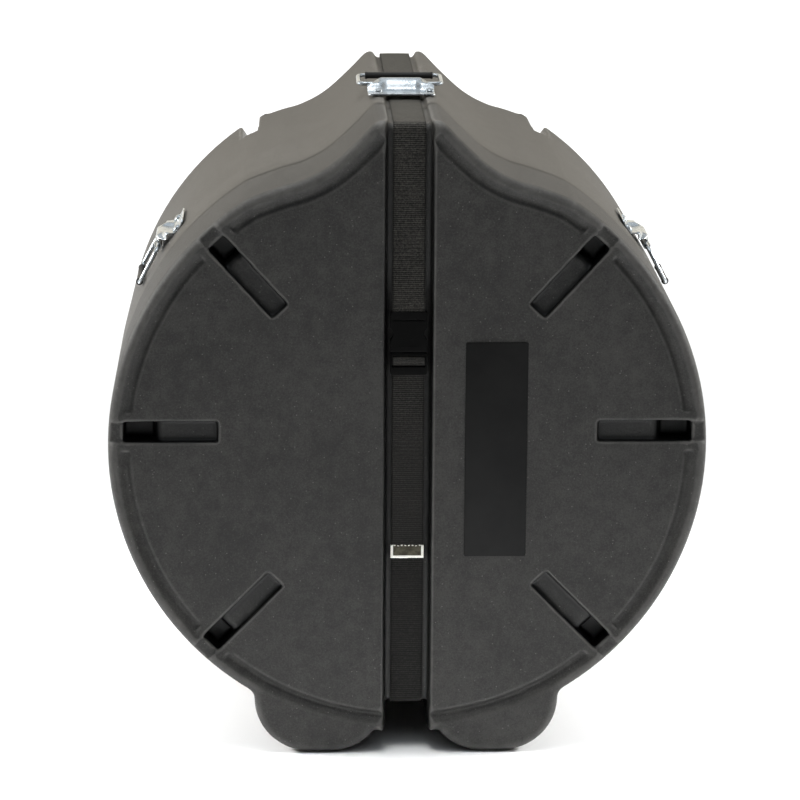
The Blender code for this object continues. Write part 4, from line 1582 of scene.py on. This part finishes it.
@dataclass
class CaseStrap(SubAssembly):
    """The webbing round the case, its free tail and the folded clip at the tail's end.

    Each bar is given by the depths of its front and back. Heights are from the middle of the disc.
    """

    case: CaseSizes = CaseSizes()
    width: float = 38.1 * MM
    thick: float = 1.8 * MM
    gap: float = 0.3 * MM
    crown: float = 0.25 * MM
    bar_depths: Point = (6.0 * MM, 9.6 * MM)
    bar_low: float = 158.2 * MM
    rise: tuple[Point, ...] = ((6.2 * MM, 169.5 * MM), (10.4 * MM, 181 * MM), (15.4 * MM, 196 * MM))
    run_start: float = 215 * MM
    run_end: float = 108 * MM
    adjuster_depths: Point = (4.6 * MM, 9.0 * MM)
    adjuster_heights: Point = (102.4 * MM, 109.6 * MM)
    tail_depth: float = 13.8 * MM
    tail_end: float = -135.5 * MM
    clip_sheet: float = 0.7 * MM
    clip_fold: float = 1.2 * MM
    clip_teeth: int = 8
    tooth: float = 1.1 * MM

    def _world(self, path: Sequence[Point]) -> list[Point]:
        """Depth and height points as world Y and Z points."""
        return [(self.case.front + depth, self.case.centre + z) for depth, z in path]

    def round_path(self) -> list[Point]:
        """The way of the belt round the case.

        Returns:
            World Y and Z points from the buckle's loop up the front, over the top, down the back and under
            to the lower front.
        """
        case = self.case
        lift = self.gap + self.thick / 2
        corner = case.channel_corner + lift
        front = case.channel_depth - lift
        turn = case.channel_depth + case.channel_corner
        far_turn = case.depth - turn
        high, low = case.top_floor - case.channel_corner, case.bottom_floor + case.channel_corner
        over, behind = self.bar_depths[0] - lift, self.bar_depths[1] + lift
        middle = (over + behind) / 2
        loop = arc(middle, self.bar_low, middle - over, 180, 360, 12)
        start = self.run_start
        rise = [loop[0], (over, 165 * MM), *self.rise, (front, start), (front, start + 25 * MM)]
        path = [(behind, 168 * MM)] + loop[::-1] + smooth_through(rise, 6) + [(front, start + 15 * MM)]
        path += arc(turn, high, corner, 180, 90, 10)
        path += arc(far_turn, high, corner, 90, 0, 10)
        path += arc(far_turn, low, corner, 0, -90, 10)
        path += arc(turn, low, corner, 270, 180, 10)
        path.append((front, self.run_end))
        return self._world(path)

    def make_round(self) -> None:
        """The belt round the case in one length."""
        band = Band(self.width, self.thick, self.crown)
        mesh = band.run("case_strap", self.round_path(), 4 * MM)
        obj = bpy.data.objects.new("case_strap", mesh)
        bpy.context.scene.collection.objects.link(obj)
        band.thicken(obj)
        obj.data.materials.append(FINISHES.of(WovenWebbing()))
        obj.data.shade_smooth()
        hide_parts("strap_upper_front", "strap_over_top", "strap_down_back", "strap_under_base",
                    "strap_lower_front")
        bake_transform(obj)
        LOG.info("case_strap runs from lid to base")

    def make_tail(self) -> None:
        """The free end, round the adjuster bar and down."""
        lift = self.gap + self.thick / 2
        over, behind = self.adjuster_depths[0] - lift, self.adjuster_depths[1] + lift
        low, high = self.adjuster_heights
        under, depth = low - 2.3 * MM, self.tail_depth
        path = [(behind, high - 1.6 * MM), (behind, high - 0.4 * MM), (behind - 0.8 * MM, high + 1.5 * MM),
                ((over + behind) / 2, high + 2 * MM), (over + 0.8 * MM, high + 1.5 * MM),
                (over, high - 0.4 * MM), (over, low + 0.8 * MM), (over + 0.5 * MM, low - 0.9 * MM),
                (6 * MM, under), (depth - 2.4 * MM, under), (depth - 0.7 * MM, low - 3.2 * MM),
                (depth, low - 5.9 * MM), (depth, self.tail_end)]
        band = Band(self.width - 0.4 * MM, self.thick, 0.15 * MM)
        mesh = band.run("strap_free_end", self._world(path), 1.6 * MM)
        obj = self.dress(mesh, "strap_free_end", WovenWebbing(), CaseBody.BUCKLE_LOWER, ["strap_tail"])
        band.thicken(obj)

    def make_clip(self) -> None:
        """The folded metal clip, with a toothed upper edge."""
        low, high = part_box("strap_tail_clip")
        middle_y = (low.y + high.y) / 2
        wide, tall = high.x - low.x, high.z - low.z
        sheet, fold = self.clip_sheet, self.clip_fold
        reach = (high.y - low.y) / 2 - sheet / 2
        inner, drop = reach - fold, fold - sheet / 2
        turns = [math.radians(22.5 * i) for i in range(5)]
        path = [(middle_y - reach, high.z), (middle_y - reach, low.z + fold)]
        path += [(middle_y - inner - fold * math.cos(a), low.z + fold - drop * math.sin(a))
                 for a in turns[1:]]
        path += [(middle_y + inner + fold * math.sin(a), low.z + fold - drop * math.cos(a))
                 for a in turns]
        path.append((middle_y + reach, high.z))
        band = Band(wide, sheet, 0.0, 0.18 * MM)
        form = Form()
        form.bm.from_mesh(band.run("clip", path, 0.7 * MM))
        for vert in form.bm.verts:
            top = smoothstep(low.z + 0.72 * tall, high.z, vert.co.z)
            wave = 0.5 + 0.5 * math.cos(2 * math.pi * vert.co.x * self.clip_teeth / wide)
            toward = math.copysign(1, middle_y - vert.co.y)
            vert.co.z -= self.tooth * top * wave
            vert.co.y += toward * 0.25 * MM * top * (1 - wave)
        mesh = form.mesh("tail_clip", False)
        obj = self.dress(mesh, "tail_clip", ClipPlate(), CaseBody.BUCKLE_LOWER, ["strap_tail_clip"])
        band.thicken(obj)

    def build(self) -> None:
        """Make the belt, its tail and the clip."""
        self.make_round()
        self.make_tail()
        self.make_clip()


@dataclass
class SideReleaseBuckle(SubAssembly):
    """The socket half, the half with the adjuster bar and the two sprung prongs.

    All sizes are in millimetres: across, depth from the lid's face, and height from the middle of the disc.
    """

    case: CaseSizes = CaseSizes()
    half: float = 21.5
    depths: Point = (2.0, 12.3)
    corner: float = 3.0
    edge: float = 0.9
    crease: float = 35
    socket_heights: Point = (116.5, 165)
    strap_window: Corners = ((-19.5, -1, 153.5), (19.5, 20, 158.2))
    strap_front: Corners = ((-19.5, -1, 153.5), (19.5, 6, 170))
    strap_back: Corners = ((-19.5, 9.6, 153.5), (19.5, 20, 170))
    prong_room: Corners = ((-17.4, 4.4, 111.5), (17.4, 10.6, 150))
    side_windows: Corners = ((-22.5, 4.4, 128.5), (22.5, 10.6, 147))
    finger_curve: Place = (28.5, 138, 10.5)
    keeper_bar: Corners = ((-20.5, 2.0, 154.6), (20.5, 3.4, 164.6))
    lip: Corners = ((-12, 1.5, 122), (12, 2.4, 124.2))
    frame_heights: Point = (89, 115.8)
    tail_window: Corners = ((-19.5, -1, 98.5), (19.5, 20, 112.5))
    adjuster_bar: Corners = ((-21, 4.6, 102.4), (21, 9.0, 109.6))
    guide_tongue: Corners = ((-4, 5, 113.8), (4, 10, 142))
    prong: tuple[Point, ...] = ((9.5, 116.1), (13.5, 116.1), (14.2, 129.5), (17.0, 131), (17.0, 141),
                                (14.5, 146), (11.5, 146), (10.8, 130))
    prong_depths: Point = (5.0, 10.0)

    def _place(self, x: float, depth: float, z: float) -> Place:
        """A place in millimetres as a world place in metres."""
        return (x * MM, self.case.front + depth * MM, self.case.centre + z * MM)

    def _box(self, corners: Corners, edge: float = 0.0) -> Block:
        """A box between two corners.

        Args:
            corners: Its lowest and highest corner.
            edge: Width of the rounding of its edges.

        Returns:
            The box.
        """
        form = Form().box(*[self._place(*corner) for corner in corners])
        return Block("buckle_part", form.rounded(edge * MM) if edge else form)

    def _rod(self, x: float, z: float, radius: float) -> Block:
        """A round cutter along the depth."""
        form = Form().rod(self._place(x, -5, z), self._place(x, 20, z), radius * MM, 48)
        return Block("buckle_round", form)

    def _frame(self, heights: Point) -> Block:
        """The outer block of a half, with round corners seen from the front.

        Args:
            heights: Its lower and upper end.

        Returns:
            The block.
        """
        form = Form().box(self._place(-self.half, self.depths[0], heights[0]),
                          self._place(self.half, self.depths[1], heights[1]))
        form.corners_rounded(self.corner * MM, 6).rounded(self.edge * MM)
        return Block("buckle_frame", form)

    def make_socket(self) -> None:
        """The upper half: strap bar, socket open below and curved side windows."""
        socket = self._frame(self.socket_heights)
        socket.cut(*[self._box(corners) for corners in (self.strap_window, self.strap_front, self.strap_back,
                                                        self.prong_room, self.side_windows)])
        x, z, radius = self.finger_curve
        socket.cut(self._rod(-x, z, radius), self._rod(x, z, radius))
        socket.join(self._box(self.keeper_bar, 0.5), self._box(self.lip, 0.35))
        self.dress(socket, "buckle_socket", BucklePlastic(), CaseBody.LID, ["buckle_female"], self.crease)

    def make_frame(self) -> None:
        """The lower half: window, adjuster bar and guide tongue."""
        frame = self._frame(self.frame_heights).cut(self._box(self.tail_window))
        frame.join(self._box(self.adjuster_bar, 0.7), self._box(self.guide_tongue, 0.6))
        self.dress(frame, "buckle_frame_lower", BucklePlastic(), CaseBody.BUCKLE_LOWER, ["buckle_male"],
                   self.crease)

    def make_prongs(self) -> None:
        """The two sprung prongs with their shoulders."""
        for side, mark, body in ((-1, "left", CaseBody.PRONG_LEFT), (1, "right", CaseBody.PRONG_RIGHT)):
            name = f"prong_{mark}"
            form = Form().loft([[Vector(self._place(side * x, depth, z)) for x, z in self.prong]
                                for depth in self.prong_depths])
            mesh = form.rounded(0.6 * MM).mesh(name)
            self.dress(mesh, name, BucklePlastic(), body, [f"buckle_{name}"], self.crease)

    def build(self) -> None:
        """Make the whole buckle."""
        self.make_socket()
        self.make_frame()
        self.make_prongs()


@dataclass
class CarryHandle(SubAssembly):
    """One handle: stamped plate, wire bail, grip and rivets. Its frame is u across, v along, n outwards.

    The tab and the rest of the section are v and n points in millimetres, and the tilt is in degrees.
    """

    name: str
    body: CaseBody
    place: Matrix
    tilt: float
    tab: tuple[Point, ...]
    offset: float = 0.0
    case: CaseSizes = CaseSizes()
    section: tuple[Point, ...] = ((15, 1.25), (20, 1.05), (30.5, 1.05), (33.5, 3.0), (37.5, 8.4),
                                  (41.5, 12.6), (45, 14.0), (48, 12.6), (49.6, 9.6), (50, 6))
    least: float = 1.05
    half: float = 40 * MM
    corner: float = 5 * MM
    sheet: float = 1.5 * MM
    grid: tuple[int, int] = (56, 96)
    rivet_v: float = 22 * MM
    rivet_u: float = 31 * MM
    head: float = 5.5 * MM
    dome: float = 3.2 * MM
    rim: float = 0.35 * MM
    shank: float = 2.4 * MM
    clench: tuple[Point, ...] = ((4.4 * MM, 0.0), (3.7 * MM, -1.5 * MM), (0.0, -1.5 * MM))
    washer: float = 1.5 * MM
    play: float = 0.3 * MM
    hinge: Point = (53.5 * MM, 5.8 * MM)
    hook_radius: float = 3.9 * MM
    hook_half: float = 30 * MM
    wire: float = 2.5 * MM
    bail_half: float = 50 * MM
    bail_length: float = 47 * MM
    bail_corner: float = 7 * MM
    grip_half: float = 41.5 * MM
    grip_radius: float = 4.4 * MM
    grip_bore: float = 2.8 * MM
    grip_lip: float = 0.5 * MM

    def _profile(self) -> list[Point]:
        """The plate's section.

        Returns:
            Its v and n points, from the lifted tab to the end of the hook.
        """
        points = [(v * MM, max(n, self.least) * MM) for v, n in (*self.tab, *self.section)]
        return smooth_through(points, 5) + arc(*self.hinge, self.hook_radius, 168, 425, 18)

    def _stamped(self, across: float, distance: float, profile: Sequence[Point],
                 lengths: Sequence[float]) -> Place:
        """Where a point of the flat sheet lies on the stamped plate.

        Args:
            across: From -1 at the sheet's left edge to 1 at its right edge.
            distance: How far along the section the point lies.
            profile: The section.
            lengths: The length up to each of the section's points.

        Returns:
            Its u, v and n.
        """
        v, n = point_along(profile, lengths, distance)
        hooked = smoothstep(lengths[-1] - 34 * MM, lengths[-1] - 25 * MM, distance)
        half = self.half - (self.half - self.hook_half) * hooked
        if distance < self.corner:
            half -= self.corner - math.sqrt(self.corner ** 2 - (self.corner - distance) ** 2)
        u = across * half
        out = abs(u)
        cheek = smoothstep(17 * MM, 25.5 * MM, out)
        slope = smoothstep(26 * MM, 33 * MM, v) * (1 - smoothstep(38 * MM, 43 * MM, v))
        v -= 4.6 * MM * cheek * slope
        crest = smoothstep(33 * MM, 40 * MM, v) * (1 - smoothstep(47 * MM, 50 * MM, v))
        n -= 0.62 * max(out - 24 * MM, 0.0) * crest
        n -= 2.2 * MM * smoothstep(36 * MM, 40 * MM, out) * smoothstep(4 * MM, 9 * MM, n)
        pan = smoothstep(3 * MM, 6 * MM, v) * (1 - smoothstep(27 * MM, 30 * MM, v))
        bead = smoothstep(21 * MM, 23 * MM, out) * (1 - smoothstep(23 * MM, 25 * MM, out))
        return (u, v - self.rivet_v, n + 0.5 * MM * pan * bead)

    def make_plate(self) -> None:
        """The stamped plate: pan between two cheeks, bulge and hook round the wire."""
        name = f"{self.name}_plate"
        profile = self._profile()
        lengths = lengths_along(profile)
        columns, rows = self.grid
        form = Form()
        bmesh.ops.create_grid(form.bm, x_segments=columns, y_segments=rows, size=1.0)
        for vert in form.bm.verts:
            vert.co = self._stamped(vert.co.x, (vert.co.y + 1) / 2 * lengths[-1], profile, lengths)
        mesh = form.placed(self.place @ Matrix.Translation((self.offset, 0, 0))).mesh(name, False)
        obj = self.dress(mesh, name, ZincPlate(), CaseBody.BASE, [f"{self.name}_handle_plate"])
        thicken(obj, self.sheet, 0.35 * MM, 50, False)

    def make_rivets(self) -> None:
        """The two rivets, with domed heads outside and clenched tails inside."""
        under, tail = self.sheet + 0.6 * MM, self._tail()
        turns = [math.radians(10 * i) for i in range(1, 10)]
        profile = [(0, under + self.dome)]
        profile += [(self.head * math.sin(a), under + self.rim + (self.dome - self.rim) * math.cos(a))
                    for a in turns]
        profile += [(self.head, under), (self.shank, under), (self.shank, tail)]
        profile += [(radius, tail + height) for radius, height in self.clench]
        for side, mark in ((-1, "a"), (1, "b")):
            name = f"{self.name}_rivet_{mark}"
            spot = self.place @ Matrix.Translation((side * self.rivet_u, 0, 0))
            mesh = Form().spun(profile, 32).placed(spot).mesh(f"{name}_head")
            self.dress(mesh, f"{name}_head", ZincPlate(), CaseBody.BASE, [name], 50)

    def _tail(self) -> float:
        """Height of the clenched tail's upper side, below the wall and the washer."""
        case = self.case
        sag = case.radius * (1 - math.cos(math.radians(5.5 / 2)))
        filling = case.ridge_top - case.top_floor if self.name == "top" else sag
        return -(case.wall + filling + self.washer + 2 * self.play)

    def make_bail(self) -> None:
        """The wire bail through the hook, and the grip on it."""
        turn = self.place @ Matrix.Translation((self.offset, self.hinge[0] - self.rivet_v, self.hinge[1]))
        turn = turn @ Matrix.Rotation(math.radians(self.tilt), 4, "X")
        self._make_wire(turn)
        bar = turn @ Matrix.Translation((0, self.bail_length, 0)) @ Matrix.Rotation(math.radians(90), 4, "Y")
        self._make_grip(bar)

    def _make_wire(self, turn: Matrix) -> None:
        """The wire, closed behind the grip.

        Args:
            turn: The place of the bail, with its hinge at the origin.
        """
        corner, far = self.bail_corner, self.bail_length
        across = self.bail_half - corner
        points = arc(across, corner, corner, -90, 0, 8) + arc(across, far - corner, corner, 0, 90, 8)
        points += arc(-across, far - corner, corner, 90, 180, 8) + arc(-across, corner, corner, 180, 270, 8)
        curve = bpy.data.curves.new("bail", "CURVE")
        curve.dimensions = "3D"
        curve.bevel_depth = self.wire
        curve.bevel_resolution = 5
        spline = curve.splines.new("POLY")
        spline.points.add(len(points) - 1)
        for knot, (u, v) in zip(spline.points, points):
            knot.co = (u, v, 0, 1)
        spline.use_cyclic_u = True
        guide = bpy.data.objects.new("bail_guide", curve)
        bpy.context.scene.collection.objects.link(guide)
        depsgraph = bpy.context.evaluated_depsgraph_get()
        mesh = bpy.data.meshes.new_from_object(guide.evaluated_get(depsgraph))
        bpy.data.objects.remove(guide)
        mesh.transform(turn)
        self.dress(mesh, f"{self.name}_wire", ZincPlate(), self.body, [f"{self.name}_bail_wire"])

    def _make_grip(self, bar: Matrix) -> None:
        """The grip, with a low lip at each end.

        Args:
            bar: Its place, with its axis along Z.
        """
        name = f"{self.name}_grip"
        r, h, bore = self.grip_radius, self.grip_half, self.grip_bore
        waist = r - self.grip_lip
        tube = [(bore, h), (r - 0.6 * MM, h), (r, h - 0.6 * MM), (r, h - 2.4 * MM), (waist, h - 3.0 * MM),
                (waist, 3.0 * MM - h), (r, 2.4 * MM - h), (r, 0.6 * MM - h), (r - 0.6 * MM, -h), (bore, -h),
                (bore, h)]
        mesh = Form().spun(tube, 36).placed(bar).mesh(name)
        self.dress(mesh, name, GripRubber(), self.body, [f"{self.name}_bail_grip"], 50)

    def build(self) -> None:
        """Make the whole handle."""
        self.make_plate()
        self.make_rivets()
        self.make_bail()


@dataclass
class CarryHandles:
    """The handle on the ridges and the two on the round walls."""

    case: CaseSizes = CaseSizes()
    top_front: float = 186.5 * MM
    top_offset: float = -3.5 * MM
    top_tilt: float = 3.5
    side_middle: float = 240 * MM
    side_angle: float = 39
    side_tilt: float = -11.1
    rivet_v: float = 22 * MM
    top_tab: tuple[Point, ...] = ((-12, 3.4), (-8, 2.2), (0, 1.3))
    side_tab: tuple[Point, ...] = ((5, 5.2), (8, 3.6), (11, 2.4))

    def build(self) -> None:
        """Make all three."""
        case = self.case
        middle = case.front + self.top_front + self.rivet_v
        top = Matrix.Translation((0, middle, case.centre + case.ridge_top))
        CarryHandle("top", CaseBody.TOP_BAIL, top, self.top_tilt, self.top_tab, self.top_offset).build()
        for name, body, side in (("left", CaseBody.LEFT_BAIL, 1), ("right", CaseBody.RIGHT_BAIL, -1)):
            angle = math.radians(180 - self.side_angle if side == 1 else self.side_angle)
            out = Vector((math.cos(angle), 0, math.sin(angle)))
            down = side * Vector((-math.sin(angle), 0, math.cos(angle)))
            place = Matrix((Vector((0, side, 0)), down, out)).transposed().to_4x4()
            place.translation = Vector((0, case.front + self.side_middle, case.centre)) + case.radius * out
            CarryHandle(name, body, place, self.side_tilt, self.side_tab).build()


@dataclass(frozen=True)
class SoftLight:
    """One soft oblong light: where it hangs, the point it faces, its size in metres and power in watts.

    Its spread is in degrees. Where it isn't mirrored, smooth surfaces don't show it.
    """

    name: str
    where: Place
    aim: Place
    size: Point
    power: float
    spread: float = 180
    mirrored: bool = True

    def hang(self) -> None:
        """Put the light in the scene."""
        data = bpy.data.lights.new(self.name, "AREA")
        data.shape = "RECTANGLE"
        data.size, data.size_y = self.size
        data.energy = self.power
        data.spread = math.radians(self.spread)
        light = bpy.data.objects.new(self.name, data)
        light.location = self.where
        light.visible_glossy = self.mirrored
        light.rotation_euler = (Vector(self.aim) - Vector(self.where)).to_track_quat("-Z", "Y").to_euler()
        bpy.context.scene.collection.objects.link(light)


@dataclass
class Studio:
    """The pale floor, the soft lights and the camera."""

    aim: Place = (-0.00997, -0.290, 0.43494)
    distance: float = 4.05375
    elevation: float = 14.15
    azimuth: float = -2.10
    roll: float = 0.37
    lens: float = 156.53
    floor_radius: float = 30
    floor_drop: float = 0.6 * MM
    front_glow: Colour = (0.040, 0.040, 0.042)
    back_glow: Colour = (0.96, 0.89, 0.76)
    sky_glow: Colour = (0.62, 0.66, 0.69)
    lights: tuple[SoftLight, ...] = (
        SoftLight("back_light", (0.0, 5.6, 5.6), (0.0, 5.6, 0.0), (8.0, 6.0), 520, mirrored=False),
        SoftLight("top_light", (-0.25, -0.40, 2.3), (0.0, -0.30, 0.0), (1.5, 0.6), 4.6, 52, False),
        SoftLight("glint_light", (-0.20, -0.55, 2.3), (0.0, -0.30, 0.7), (0.5, 0.2), 0.24, 40),
        SoftLight("left_light", (-1.7, -0.05, 1.0), (-0.3, -0.05, 0.0), (0.5, 0.5), 5.5, 60),
        SoftLight("right_light", (1.7, -0.05, 1.0), (0.3, -0.05, 0.0), (0.5, 0.5), 5.5, 60))

    def make_camera(self) -> None:
        """The camera that sees the case as the picture does."""
        e, a = math.radians(self.elevation), math.radians(self.azimuth)
        out = Vector((math.sin(a) * math.cos(e), -math.cos(a) * math.cos(e), math.sin(e)))
        forward = -out
        right = forward.cross(Vector((0, 0, 1))).normalized()
        up = right.cross(forward)
        lean = math.radians(self.roll)
        across = math.cos(lean) * right + math.sin(lean) * up
        above = math.cos(lean) * up - math.sin(lean) * right
        matrix = Matrix((across, above, out)).transposed().to_4x4()
        matrix.translation = Vector(self.aim) + self.distance * out
        data = bpy.data.cameras.new("camera")
        data.lens = self.lens
        data.sensor_width = 36
        data.clip_end = 100
        camera = bpy.data.objects.new("camera", data)
        camera.matrix_world = matrix
        bpy.context.scene.collection.objects.link(camera)
        bpy.context.scene.camera = camera

    def make_floor(self) -> None:
        """A plain pale floor, large enough for every view."""
        bm = bmesh.new()
        bmesh.ops.create_circle(bm, cap_ends=True, segments=96, radius=self.floor_radius)
        bmesh.ops.translate(bm, verts=bm.verts, vec=(0, 0, -self.floor_drop))
        mesh = bpy.data.meshes.new("floor")
        bm.to_mesh(mesh)
        bm.free()
        floor = bpy.data.objects.new("floor", mesh)
        graph = Graph("pale_floor")
        floor.data.materials.append(graph.finish(Base_Color=(0.93, 0.93, 0.93), Roughness=0.9))
        bpy.context.scene.collection.objects.link(floor)

    def make_world(self) -> None:
        """Dim surroundings, a pale wall behind the case, brightest near the horizon, and a grey ceiling."""
        world = bpy.data.worlds.new("studio")
        world.use_nodes = True
        graph = Graph.of_world(world)
        toward = Signal(graph, graph.node("ShaderNodeTexCoord", {}).outputs["Generated"])
        back = graph.axis(toward, "Y").ease(-0.30, 0.30)
        height = graph.axis(toward, "Z")
        ceiling = graph.blend(height.ease(0.45, 0.85), self.front_glow, self.sky_glow)
        colour = graph.blend(back * (1 - height.ease(0.30, 0.75)), ceiling, self.back_glow)
        graph.feed(world.node_tree.nodes["Background"].inputs["Color"], colour)
        bpy.context.scene.world = world
        bpy.context.scene.view_settings.view_transform = "Standard"

    def build(self) -> None:
        """Set up the whole studio."""
        self.make_camera()
        self.make_floor()
        self.make_world()
        for light in self.lights:
            light.hang()


def main() -> None:
    """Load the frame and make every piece."""
    logging.basicConfig(level=logging.INFO, format="%(message)s")
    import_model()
    Studio().build()
    MouldedShells().build()
    NamePlate().build()
    CaseStrap().build()
    SideReleaseBuckle().build()
    CarryHandles().build()


if __name__ == "__main__":
    main()
